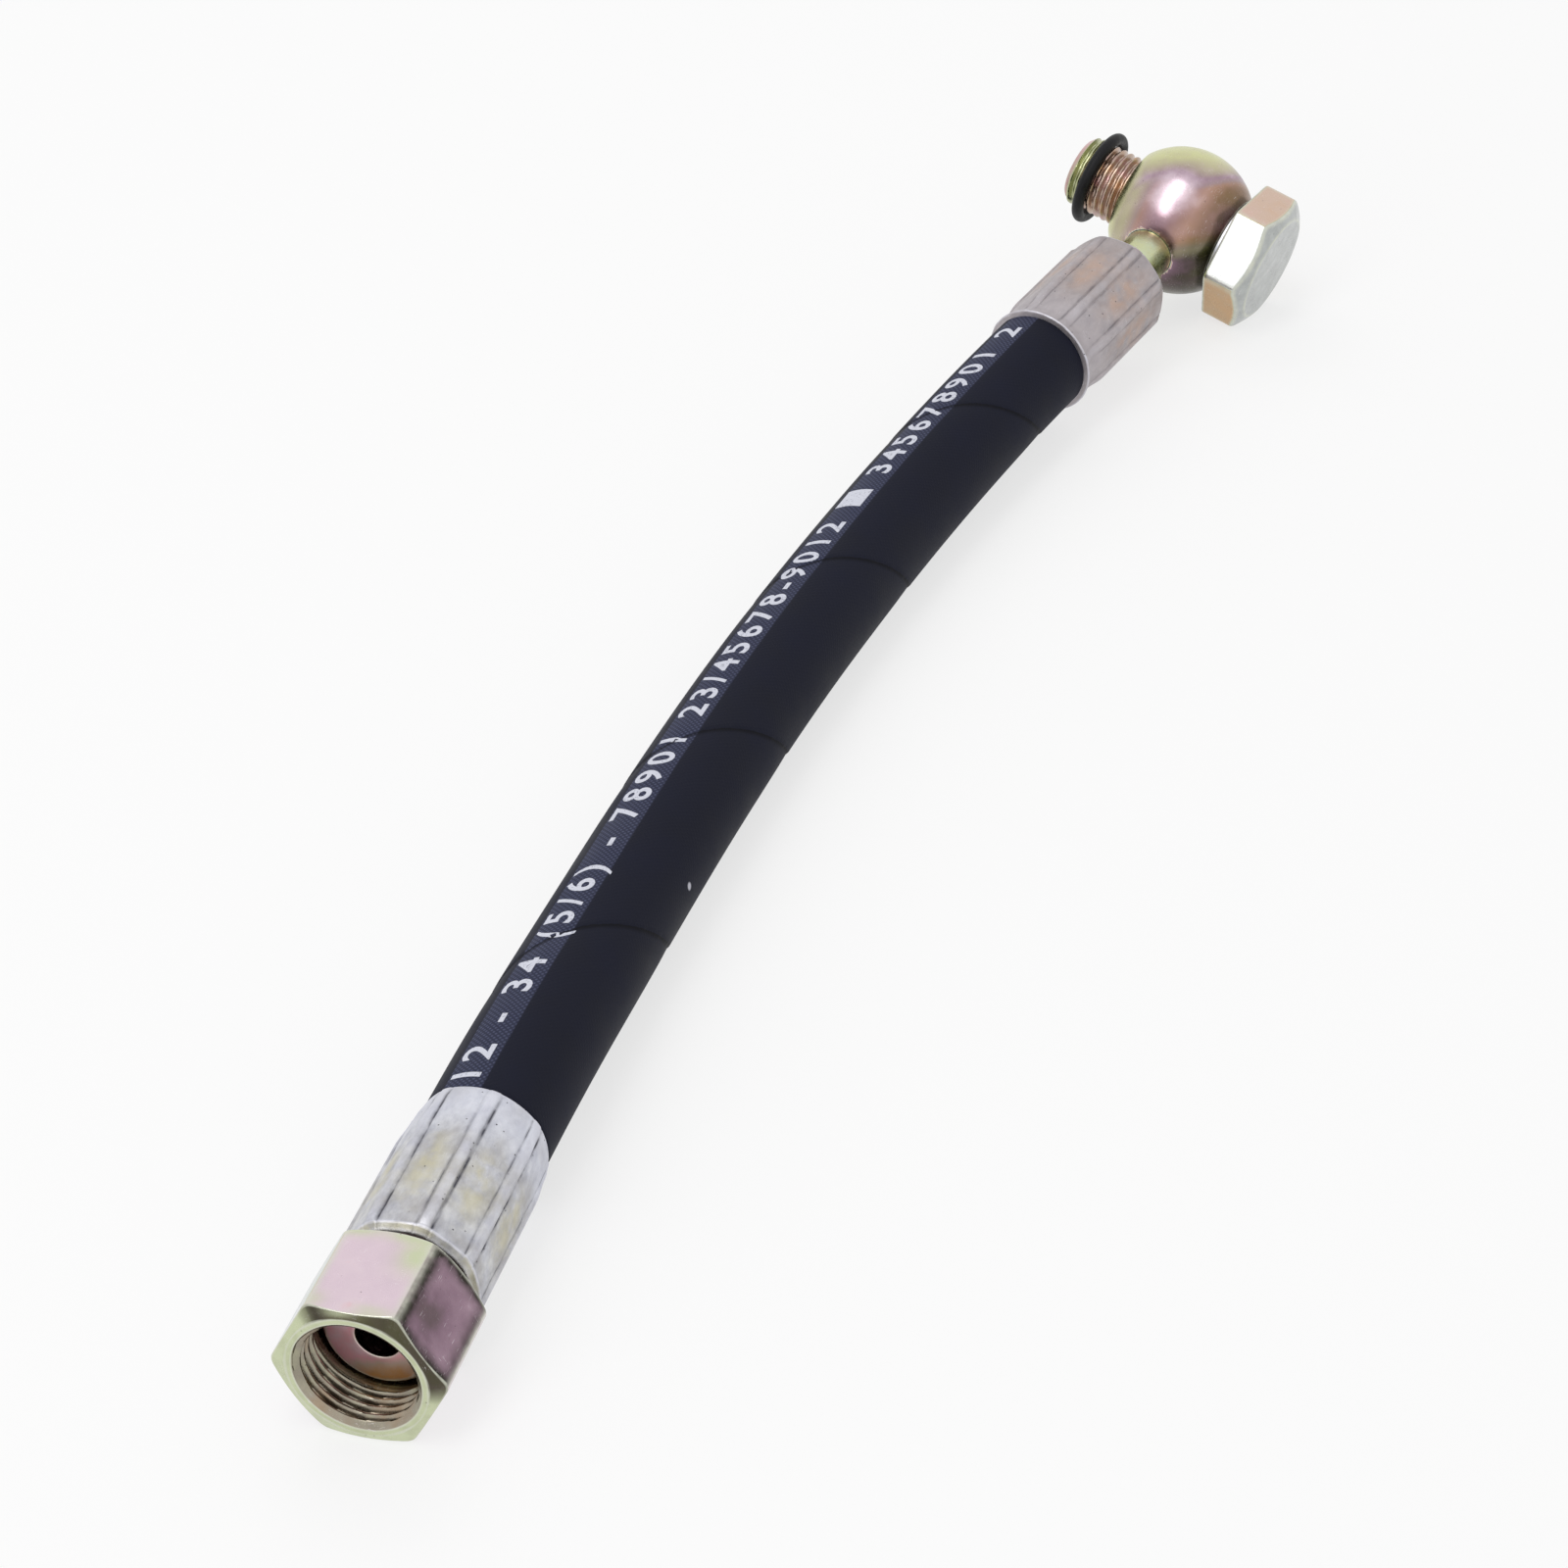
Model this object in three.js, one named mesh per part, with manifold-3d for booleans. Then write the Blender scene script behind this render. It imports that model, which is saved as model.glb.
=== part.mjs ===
// A short two-wire hydraulic hose assembly: a swivel nut with a flat seat at one end, and a
// ball-shaped banjo eye with its hollow bolt at the other. Millimetres, +Z up, lying on z = 0.
import * as THREE from "three";
import { mergeVertices } from "three/addons/utils/BufferGeometryUtils.js";
import Module from "manifold-3d";

const wasm = await Module();
wasm.setup();

// ---- Driving dimensions, in millimetres and degrees ----

// Hose layers, from the bore outwards
const HOSE_BORE = 9.5;
const TUBE_WALL = 1.2;
const BRAID_WALL = 0.8;
const MIDDLE_WALL = 0.5;
const COVER_WALL = 1.1;
const CRIMP_SQUEEZE = 0.9; // taken off the cover's diameter inside each ferrule
const HOSE_SIDES = 12;
const HOSE_STEPS = 11;

// Crimp ferrules
const FERRULE_LENGTH = 30.8;
const FERRULE_END_WALL = 2;
const FERRULE_LIP_LENGTH = 2.4;
const CRIMP_DIES = 8;
const CRIMP_WALL = 0.8; // at the middle of each flat that a die left
const CRIMP_RIDGE_HEIGHT = 0.7; // above the middle of a flat
const CRIMP_RIDGE_WIDTH = 1.2;
const NEAR_CRIMP_TURN = 17; // where the dies closed round each ferrule
const FAR_CRIMP_TURN = -13.5;
const NEAR_WAIST_WALL = 0.8;
const NEAR_LIP_WALL = 0.5;
const FAR_WAIST_WALL = 0.65;
const FAR_LIP_WALL = 1.4;

// Hose tails, alike at both ends
const GROOVE_DIAMETER = 12;
const COLLAR_DIAMETER = 13.6;
const INNER_COLLAR_LENGTH = 1.3;
const TAIL_LENGTH = 22.5;
const TAIL_BORE = 6;
const BARB_PITCH = 5;
const BARB_DEPTH = 0.35;
const BARB_RISE = 0.3; // from a barb's foot to its crest, on the ferrule's side
const BARB_LENGTH = 4; // from foot to foot
const FIRST_BARB = 1; // from the inner collar
const TAIL_TIP_LENGTH = 0.5; // the plain end after the last barb

// Flat-seat head and swivel nut
const NUT_ACROSS_FLATS = 22;
const NUT_LENGTH = 17.4;
const NUT_THREAD = 18;
const NUT_PITCH = 1.5;
const NUT_LEAD_IN = 1; // length of the mouth's chamfer, ahead of the thread
const NUT_MOUTH_DIAMETER = 18.4;
const NUT_ROOT_DIAMETER = 17.8;
const NUT_RELIEF_DIAMETER = 17.4;
const NUT_FACE_DIAMETER = 20; // the circle that the front chamfer leaves
const NUT_FACE_ANGLE = 22;
const NUT_BACK_DIAMETER = 19.8; // and the one that the back chamfer leaves
const NUT_BACK_ANGLE = 30;
const SEAT_DEPTH = 7.8; // the seat face, in from the nut's mouth
const SEAT_DIAMETER = 15.9;
const SEAT_EDGE = 0.6;
const SEAT_HEAD_LENGTH = 3.4;
const SEAT_BORE = 6.4;
const SEAT_BORE_DEPTH = 7;
const NUT_END_GAP = 1.6; // between the nut's back face and the ferrule

// Banjo eye and the neck that is brazed into it
const BALL_DIAMETER = 28.6;
const BALL_WIDTH = 21.6;
const BALL_REACH = 25.2; // from the ferrule's closed end to the eye's centre
const NECK_DIAMETER = 9.8;
const NECK_COLLAR_LENGTH = 1.4;
const NECK_SEAT = 11; // from the eye's centre to the bottom of the neck's socket
const OIL_GROOVE_DIAMETER = 18;
const OIL_GROOVE_WIDTH = 8;

// Banjo bolt, its washer and its rubber ring
const BOLT_THREAD = 14;
const BOLT_PITCH = 1.5;
const BOLT_LENGTH = 35; // under the head
const BOLT_ACROSS_FLATS = 24;
const BOLT_HEAD_HEIGHT = 8.6;
const BOLT_CHAMFER_ANGLE = 30;
const BOLT_FACE_DIAMETER = 20.6;
const BOLT_WAIST_DIAMETER = 12;
const BOLT_WAIST_RISE = 0.8; // length of the cone between the waist and the plain shank
const BOLT_BORE = 6;
const BOLT_CROSS_HOLE = 4.5;
const DRILL_POINT = 0.3; // length of a drill's point, in diameters
const BOLT_TIP_CHAMFER = 1.2;
const WASHER_DIAMETER = 19;
const WASHER_THICKNESS = 1;
const RING_SECTION = 2.4;
const RING_FROM_TIP = 4.6; // from the bolt's tip to the middle of the rubber ring

// Clearances
const CRIMP_GAP = 0.1; // pieces that the crimp or the braze holds together
const RUNNING_GAP = 0.3; // pieces that turn or slide past each other
const SEAT_PLAY = 0.3; // the nut's shoulder, behind the seat head
const CUT_PAST = 1; // how far a cutting or joining shape reaches past the other

// Facets round the wide turned pieces, and round the slim ones
const ROUND = 32;
const SLIM_ROUND = 24;

// How the parts lie: the route of the hose's axis, from its end inside the near ferrule to its
// end inside the far one, and how far the banjo end is turned about the hose's axis.
const ROUTE = [
  [-152.97, 26.27, 11],
  [-139.97, 26.27, 11],
  [-125.97, 26.27, 11],
  [-112.07, 26.22, 10.89],
  [-98.27, 26.06, 10.55],
  [-84.37, 25.79, 10.03],
  [-70.57, 25.38, 9.68],
  [-56.67, 24.83, 9.56],
  [-42.87, 24.12, 9.56],
  [-29.07, 23.23, 9.56],
  [-15.17, 22.15, 9.56],
  [-1.37, 20.85, 9.56],
  [12.33, 19.33, 9.56],
  [26.13, 17.55, 9.58],
  [39.83, 15.49, 9.74],
  [53.43, 13.14, 10.06],
  [67.03, 10.47, 10.54],
  [80.53, 7.46, 11.18],
  [94.03, 4.08, 11.97],
  [107.28, 0.3, 12.96],
  [120.63, -3.72, 14.02],
  [133.83, -7.69, 15.06],
];
const BANJO_ROLL = -17.04;
const BOLT_TURN = -5.3;

// ---- Small tools ----

const radians = THREE.MathUtils.degToRad;

// Points of a profile are [distance along the axis, diameter].
function turned(profile, facets = ROUND) {
  const points = profile.map(([along, diameter]) => new THREE.Vector2(diameter / 2, along));
  const geometry = new THREE.LatheGeometry(points, facets);
  geometry.rotateZ(-Math.PI / 2);
  return geometry;
}

function solid(geometry) {
  const bare = geometry.clone();
  bare.deleteAttribute("normal");
  bare.deleteAttribute("uv");
  const merged = mergeVertices(bare, 1e-4);
  const triangles = [];
  const index = merged.index.array;
  for (let i = 0; i < index.length; i += 3) {
    const [a, b, c] = [index[i], index[i + 1], index[i + 2]];
    if (a !== b && b !== c && c !== a) triangles.push(a, b, c);
  }
  return new wasm.Manifold(
    new wasm.Mesh({
      numProp: 3,
      vertProperties: new Float32Array(merged.attributes.position.array),
      triVerts: new Uint32Array(triangles),
    }),
  );
}

function shaped(body) {
  const mesh = body.getMesh();
  const geometry = new THREE.BufferGeometry();
  geometry.setAttribute("position", new THREE.BufferAttribute(mesh.vertProperties, 3));
  geometry.setIndex(new THREE.BufferAttribute(mesh.triVerts, 1));
  geometry.computeVertexNormals();
  return geometry;
}

function circle(diameter, sides) {
  const shape = new THREE.Shape();
  for (let i = 0; i < sides; i += 1) {
    const angle = (2 * Math.PI * i) / sides;
    const point = [(diameter / 2) * Math.cos(angle), (diameter / 2) * Math.sin(angle)];
    if (i === 0) shape.moveTo(...point);
    else shape.lineTo(...point);
  }
  shape.closePath();
  return shape;
}

// A hexagonal rod along +X with a flat on top. A cone cuts the corners of each end, given as the
// diameter of the circle that it leaves on the end face and its angle to that face. A circle that
// is wider than the rod leaves its end uncut.
function hexBar(acrossFlats, start, end, [startDiameter, startAngle], [endDiameter, endAngle]) {
  const acrossCorners = acrossFlats / Math.cos(Math.PI / 6);
  const bar = new THREE.ExtrudeGeometry(circle(acrossCorners, 6), {
    depth: end - start,
    bevelEnabled: false,
  });
  bar.rotateZ(Math.PI / 6);
  bar.rotateY(Math.PI / 2);
  bar.translate(start, 0, 0);
  const wide = acrossCorners + 2 * CUT_PAST;
  const startCut = Math.max(wide - startDiameter, 0) * Math.tan(radians(startAngle)) / 2;
  const endCut = Math.max(wide - endDiameter, 0) * Math.tan(radians(endAngle)) / 2;
  const envelope = turned([
    [start, 0],
    [start, startDiameter],
    [start + startCut, wide],
    [end - endCut, wide],
    [end, endDiameter],
    [end, 0],
  ]);
  return solid(bar).intersect(solid(envelope));
}

// The outline of a thread's crests and roots, from one end to the other, as rings.
function threadProfile(start, end, crest, root, pitch) {
  const turns = Math.floor((end - start) / pitch);
  const step = (end - start) / turns;
  const profile = [];
  for (let i = 0; i < turns; i += 1) {
    const from = start + i * step;
    profile.push([from, crest], [from + step / 2, root]);
  }
  profile.push([end, crest]);
  return profile;
}

// The depth of a 60-degree metric thread, on the diameter.
function threadDepth(pitch) {
  return 1.0825 * pitch;
}

function piece(name, geometry, material) {
  const mesh = new THREE.Mesh(geometry, material);
  mesh.name = name;
  return mesh;
}

// ---- Materials ----

const rubber = new THREE.MeshStandardMaterial({ color: 0x20222e, roughness: 0.75, metalness: 0 });
const lining = new THREE.MeshStandardMaterial({ color: 0x17171a, roughness: 0.6, metalness: 0 });
const wire = new THREE.MeshStandardMaterial({ color: 0xb08d4a, roughness: 0.4, metalness: 1 });
const zinc = new THREE.MeshStandardMaterial({ color: 0xc8c8d4, roughness: 0.45, metalness: 1 });
const chromate = new THREE.MeshStandardMaterial({ color: 0xc3b383, roughness: 0.3, metalness: 1 });
const bright = new THREE.MeshStandardMaterial({ color: 0xd5d7dc, roughness: 0.35, metalness: 1 });
const nitrile = new THREE.MeshStandardMaterial({ color: 0x141416, roughness: 0.5, metalness: 0 });

// ---- Hose: five layers along one route ----

const routePoints = ROUTE.map((point) => new THREE.Vector3(...point));
const route = new THREE.CatmullRomCurve3(routePoints, false, "centripetal");
const hoseStart = routePoints[0];
const hoseEnd = routePoints[routePoints.length - 1];
const farDirection = hoseEnd.clone().sub(routePoints[routePoints.length - 2]).normalize();

// A layer's hole is as wide as stated across its flats, and its outside across its corners.
function hoseLayer(innerDiameter, outerDiameter) {
  const section = circle(outerDiameter, HOSE_SIDES);
  section.holes.push(circle(innerDiameter / Math.cos(Math.PI / HOSE_SIDES), HOSE_SIDES));
  return new THREE.ExtrudeGeometry(section, {
    steps: HOSE_STEPS,
    extrudePath: route,
    bevelEnabled: false,
  });
}

const tubeOutside = HOSE_BORE + 2 * TUBE_WALL;
const innerBraidInside = tubeOutside + 2 * CRIMP_GAP;
const innerBraidOutside = innerBraidInside + 2 * BRAID_WALL;
const middleInside = innerBraidOutside + 2 * CRIMP_GAP;
const middleOutside = middleInside + 2 * MIDDLE_WALL;
const outerBraidInside = middleOutside + 2 * CRIMP_GAP;
const outerBraidOutside = outerBraidInside + 2 * BRAID_WALL;
const coverInside = outerBraidOutside + 2 * CRIMP_GAP;
const hoseDiameter = coverInside + 2 * COVER_WALL;
const crimpedDiameter = hoseDiameter - CRIMP_SQUEEZE;

// ---- Fittings: each is built along +X from its ferrule's closed end towards the hose ----

const collarEnd = FERRULE_END_WALL + CRIMP_GAP + INNER_COLLAR_LENGTH;
const hoseInset = collarEnd + RUNNING_GAP;
const ferruleBore = crimpedDiameter + 2 * CRIMP_GAP;
const crimpAcrossFlats = ferruleBore + 2 * CRIMP_WALL;
const ridgeDiameter = crimpAcrossFlats + 2 * CRIMP_RIDGE_HEIGHT;
const tailDiameter = HOSE_BORE - 2 * CRIMP_GAP;

// The sleeve that is taken off the cover inside each ferrule.
function crimpSleeve() {
  const wide = hoseDiameter + 2 * CUT_PAST;
  const start = hoseInset - CUT_PAST;
  const end = FERRULE_LENGTH + CRIMP_GAP;
  return turned([
    [start, crimpedDiameter],
    [start, wide],
    [end, wide],
    [end, crimpedDiameter],
    [start, crimpedDiameter],
  ]);
}

// A ferrule after crimping: flats left by the dies, with a ridge squeezed up between each two.
// Its hose end narrows to a waist, and from there to a lip that is thin or belled.
function ferrule(crimpTurn, waistWall, lipWall) {
  const sector = (2 * Math.PI) / CRIMP_DIES;
  const halfRidge = CRIMP_RIDGE_WIDTH / ridgeDiameter;
  const ridgeFoot = 1.6 * halfRidge;
  const flatEnd = crimpAcrossFlats / Math.cos(sector / 2 - ridgeFoot);
  const section = new THREE.Shape();
  for (let die = 0; die < CRIMP_DIES; die += 1) {
    const ridge = radians(crimpTurn) + die * sector;
    const corners = [
      [flatEnd, ridge - ridgeFoot],
      [ridgeDiameter, ridge - halfRidge],
      [ridgeDiameter, ridge + halfRidge],
      [flatEnd, ridge + ridgeFoot],
    ];
    corners.forEach(([diameter, angle], i) => {
      const point = [(diameter / 2) * Math.cos(angle), (diameter / 2) * Math.sin(angle)];
      if (die === 0 && i === 0) section.moveTo(...point);
      else section.lineTo(...point);
    });
  }
  section.closePath();
  const bar = new THREE.ExtrudeGeometry(section, { depth: FERRULE_LENGTH, bevelEnabled: false });
  bar.rotateY(Math.PI / 2);
  const wide = ridgeDiameter + CUT_PAST;
  const envelope = turned([
    [0, 0],
    [0, crimpAcrossFlats],
    [(wide - crimpAcrossFlats) / 2, wide],
    [FERRULE_LENGTH - 3 * FERRULE_LIP_LENGTH, wide],
    [FERRULE_LENGTH - FERRULE_LIP_LENGTH, ferruleBore + 2 * waistWall],
    [FERRULE_LENGTH, ferruleBore + 2 * lipWall],
    [FERRULE_LENGTH, 0],
  ]);
  const bore = turned([
    [-CUT_PAST, 0],
    [-CUT_PAST, GROOVE_DIAMETER + 2 * CRIMP_GAP],
    [FERRULE_END_WALL, GROOVE_DIAMETER + 2 * CRIMP_GAP],
    [FERRULE_END_WALL, ferruleBore],
    [FERRULE_LENGTH + CUT_PAST, ferruleBore],
    [FERRULE_LENGTH + CUT_PAST, 0],
  ]);
  return shaped(solid(bar).intersect(solid(envelope)).subtract(solid(bore)));
}

// The outside of a hose tail, from the ferrule's closed end to the tail's tip.
function tailProfile() {
  const start = collarEnd;
  const end = start + TAIL_LENGTH;
  const root = tailDiameter - 2 * BARB_DEPTH;
  const profile = [
    [-CRIMP_GAP, COLLAR_DIAMETER],
    [-CRIMP_GAP, GROOVE_DIAMETER],
    [FERRULE_END_WALL + CRIMP_GAP, GROOVE_DIAMETER],
    [FERRULE_END_WALL + CRIMP_GAP, COLLAR_DIAMETER],
    [start, COLLAR_DIAMETER],
    [start, root],
  ];
  const barbs = Math.floor(TAIL_LENGTH / BARB_PITCH);
  const step = (TAIL_LENGTH - FIRST_BARB - TAIL_TIP_LENGTH) / barbs;
  for (let i = 0; i < barbs; i += 1) {
    const foot = start + FIRST_BARB + i * step;
    profile.push([foot, root], [foot + BARB_RISE, tailDiameter], [foot + BARB_LENGTH, root]);
  }
  profile.push([end, root], [end, TAIL_BORE]);
  return profile;
}

// ---- Near end: flat-seat nipple and swivel nut ----

const nutBack = -NUT_END_GAP;
const nutMouth = nutBack - NUT_LENGTH;
const seatFace = nutMouth + SEAT_DEPTH;
const headBack = seatFace + SEAT_HEAD_LENGTH;
const headSlope = (SEAT_DIAMETER - COLLAR_DIAMETER) / 2;

function nearNipple() {
  const step = seatFace + SEAT_BORE_DEPTH;
  return turned([
    [step, TAIL_BORE],
    [step, SEAT_BORE],
    [seatFace, SEAT_BORE],
    [seatFace, SEAT_DIAMETER - 2 * SEAT_EDGE],
    [seatFace + SEAT_EDGE * 0.3, SEAT_DIAMETER - SEAT_EDGE * 0.6],
    [seatFace + SEAT_EDGE, SEAT_DIAMETER],
    [headBack, SEAT_DIAMETER],
    [headBack + headSlope, COLLAR_DIAMETER],
    ...tailProfile(),
    [step, TAIL_BORE],
  ], SLIM_ROUND);
}

function swivelNut() {
  const minor = NUT_THREAD - threadDepth(NUT_PITCH);
  const threadEnd = seatFace - SEAT_PLAY;
  const relief = NUT_RELIEF_DIAMETER;
  const backHole = COLLAR_DIAMETER + 2 * RUNNING_GAP;
  const shoulder = headBack + SEAT_PLAY;
  const hollow = turned([
    [nutMouth - CUT_PAST, 0],
    [nutMouth - CUT_PAST, NUT_MOUTH_DIAMETER],
    [nutMouth, NUT_MOUTH_DIAMETER],
    ...threadProfile(nutMouth + NUT_LEAD_IN, threadEnd, minor, NUT_ROOT_DIAMETER, NUT_PITCH),
    [threadEnd, relief],
    [shoulder - (relief - SEAT_DIAMETER) / 2, relief],
    [shoulder + (SEAT_DIAMETER - backHole) / 2, backHole],
    [nutBack + CUT_PAST, backHole],
    [nutBack + CUT_PAST, 0],
  ], SLIM_ROUND);
  const front = [NUT_FACE_DIAMETER, NUT_FACE_ANGLE];
  const back = [NUT_BACK_DIAMETER, NUT_BACK_ANGLE];
  const bar = hexBar(NUT_ACROSS_FLATS, nutMouth, nutBack, front, back);
  return shaped(bar.subtract(solid(hollow)));
}

// ---- Far end: neck, ball eye, washer, hollow bolt and rubber ring ----

function farNipple() {
  const tip = -BALL_REACH + NECK_SEAT + CRIMP_GAP;
  return turned([
    [tip, TAIL_BORE],
    [tip, NECK_DIAMETER],
    [-CRIMP_GAP - NECK_COLLAR_LENGTH, NECK_DIAMETER],
    [-CRIMP_GAP - NECK_COLLAR_LENGTH, COLLAR_DIAMETER],
    ...tailProfile(),
    [tip, TAIL_BORE],
  ], SLIM_ROUND);
}

// The eye and the pieces on the bolt are built along the bolt's axis, +X, about the eye's centre.
const eyeBore = BOLT_THREAD + 2 * RUNNING_GAP;

function banjoEye() {
  const half = BALL_WIDTH / 2;
  const radius = BALL_DIAMETER / 2;
  const steps = 10;
  const ball = [[-half, 0]];
  for (let i = 0; i <= steps; i += 1) {
    const reach = Math.asin(half / radius);
    const angle = -reach + (2 * reach * i) / steps;
    ball.push([radius * Math.sin(angle), 2 * radius * Math.cos(angle)]);
  }
  ball.push([half, 0]);
  const bore = turned([
    [-half - CUT_PAST, 0],
    [-half - CUT_PAST, eyeBore],
    [-OIL_GROOVE_WIDTH / 2, eyeBore],
    [-OIL_GROOVE_WIDTH / 2, OIL_GROOVE_DIAMETER],
    [OIL_GROOVE_WIDTH / 2, OIL_GROOVE_DIAMETER],
    [OIL_GROOVE_WIDTH / 2, eyeBore],
    [half + CUT_PAST, eyeBore],
    [half + CUT_PAST, 0],
  ], SLIM_ROUND);
  const socket = turned([
    [0, 0],
    [0, TAIL_BORE],
    [NECK_SEAT, TAIL_BORE],
    [NECK_SEAT, NECK_DIAMETER + 2 * CRIMP_GAP],
    [radius + CUT_PAST, NECK_DIAMETER + 2 * CRIMP_GAP],
    [radius + CUT_PAST, 0],
  ], SLIM_ROUND);
  socket.rotateZ(-Math.PI / 2);
  return shaped(solid(turned(ball)).subtract(solid(bore)).subtract(solid(socket)));
}

const washerStart = BALL_WIDTH / 2 + CRIMP_GAP;
const headStart = washerStart + WASHER_THICKNESS + CRIMP_GAP;
const boltTip = headStart - BOLT_LENGTH;
const ringMiddle = boltTip + RING_FROM_TIP;

function washer() {
  return turned([
    [washerStart, BOLT_THREAD + RUNNING_GAP],
    [washerStart, WASHER_DIAMETER],
    [washerStart + WASHER_THICKNESS, WASHER_DIAMETER],
    [washerStart + WASHER_THICKNESS, BOLT_THREAD + RUNNING_GAP],
    [washerStart, BOLT_THREAD + RUNNING_GAP],
  ]);
}

function banjoBolt() {
  const waistHalf = OIL_GROOVE_WIDTH / 2 + RUNNING_GAP;
  const root = BOLT_THREAD - threadDepth(BOLT_PITCH);
  const shank = turned([
    [boltTip, 0],
    [boltTip, BOLT_THREAD - 2 * BOLT_TIP_CHAMFER],
    ...threadProfile(boltTip + BOLT_TIP_CHAMFER, -waistHalf, BOLT_THREAD, root, BOLT_PITCH),
    [-waistHalf, BOLT_WAIST_DIAMETER],
    [waistHalf, BOLT_WAIST_DIAMETER],
    [waistHalf + BOLT_WAIST_RISE, BOLT_THREAD],
    [headStart + CUT_PAST, BOLT_THREAD],
    [headStart + CUT_PAST, 0],
  ], SLIM_ROUND);
  const headEnd = headStart + BOLT_HEAD_HEIGHT;
  const uncut = [2 * BOLT_ACROSS_FLATS, BOLT_CHAMFER_ANGLE];
  const top = [BOLT_FACE_DIAMETER, BOLT_CHAMFER_ANGLE];
  const head = hexBar(BOLT_ACROSS_FLATS, headStart, headEnd, uncut, top);
  const bore = turned([
    [boltTip - CUT_PAST, 0],
    [boltTip - CUT_PAST, BOLT_BORE],
    [waistHalf, BOLT_BORE],
    [waistHalf + BOLT_BORE * DRILL_POINT, 0],
  ], SLIM_ROUND);
  const across = turned([
    [-BOLT_THREAD, 0],
    [-BOLT_THREAD, BOLT_CROSS_HOLE],
    [BOLT_THREAD, BOLT_CROSS_HOLE],
    [BOLT_THREAD, 0],
  ], SLIM_ROUND);
  const acrossToo = across.clone();
  across.rotateZ(Math.PI / 2);
  acrossToo.rotateY(Math.PI / 2);
  const body = solid(shank).add(head).subtract(solid(bore));
  return shaped(body.subtract(solid(across)).subtract(solid(acrossToo)));
}

function rubberRing() {
  const radius = BOLT_THREAD / 2 + CRIMP_GAP + RING_SECTION / 2;
  const ring = new THREE.TorusGeometry(radius, RING_SECTION / 2, 8, SLIM_ROUND);
  ring.rotateY(Math.PI / 2);
  ring.translate(ringMiddle, 0, 0);
  return ring;
}

// ---- Assembly ----

const assembly = new THREE.Group();

const near = new THREE.Group();
near.position.set(hoseStart.x - hoseInset, hoseStart.y, hoseStart.z);
const nearCrimp = ferrule(NEAR_CRIMP_TURN, NEAR_WAIST_WALL, NEAR_LIP_WALL);
near.add(piece("near_ferrule", nearCrimp, zinc));
near.add(piece("near_nipple", nearNipple(), chromate));
near.add(piece("swivel_nut", swivelNut(), chromate));
assembly.add(near);

// The far fitting points back along the hose, and is rolled about its axis.
const far = new THREE.Group();
const backwards = farDirection.clone().negate();
const sideways = new THREE.Vector3().crossVectors(farDirection, new THREE.Vector3(0, 0, 1));
sideways.normalize();
const upwards = new THREE.Vector3().crossVectors(backwards, sideways);
const farPlace = new THREE.Matrix4().makeBasis(backwards, sideways, upwards);
farPlace.setPosition(hoseEnd.clone().addScaledVector(farDirection, hoseInset));
farPlace.multiply(new THREE.Matrix4().makeRotationX(radians(BANJO_ROLL)));
farPlace.decompose(far.position, far.quaternion, far.scale);
const farCrimp = ferrule(FAR_CRIMP_TURN, FAR_WAIST_WALL, FAR_LIP_WALL);
far.add(piece("far_ferrule", farCrimp, zinc));
far.add(piece("far_nipple", farNipple(), chromate));

const eye = new THREE.Group();
eye.position.set(-BALL_REACH, 0, 0);
eye.rotation.z = Math.PI / 2;
eye.add(piece("banjo_eye", banjoEye(), chromate));
eye.add(piece("sealing_washer", washer(), bright));
const bolt = new THREE.Group();
bolt.rotation.x = radians(BOLT_TURN);
bolt.add(piece("banjo_bolt", banjoBolt(), chromate));
bolt.add(piece("bolt_o_ring", rubberRing(), nitrile));
eye.add(bolt);
far.add(eye);
assembly.add(far);

// The cover is squeezed where each ferrule grips it.
near.updateMatrix();
far.updateMatrix();
const nearSleeve = solid(crimpSleeve().applyMatrix4(near.matrix));
const farSleeve = solid(crimpSleeve().applyMatrix4(far.matrix));
const wholeCover = solid(hoseLayer(coverInside, hoseDiameter));
const cover = shaped(wholeCover.subtract(nearSleeve).subtract(farSleeve));
assembly.add(piece("hose_inner_tube", hoseLayer(HOSE_BORE, tubeOutside), lining));
assembly.add(piece("hose_inner_braid", hoseLayer(innerBraidInside, innerBraidOutside), wire));
assembly.add(piece("hose_middle_layer", hoseLayer(middleInside, middleOutside), lining));
assembly.add(piece("hose_outer_braid", hoseLayer(outerBraidInside, outerBraidOutside), wire));
assembly.add(piece("hose_cover", cover, rubber));

export default assembly;
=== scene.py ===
"""A short hydraulic hose with a flat-seat swivel nut at one end and a ball banjo eye with its
hollow bolt at the other, lying on a pale table. The hose's sizes are in metres, with MM for a
millimetre. The outlines of the turned pieces are in millimetres until their meshes are made."""

import math

import bmesh
import bpy
import numpy as np
from mathutils import Matrix, Vector


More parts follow.
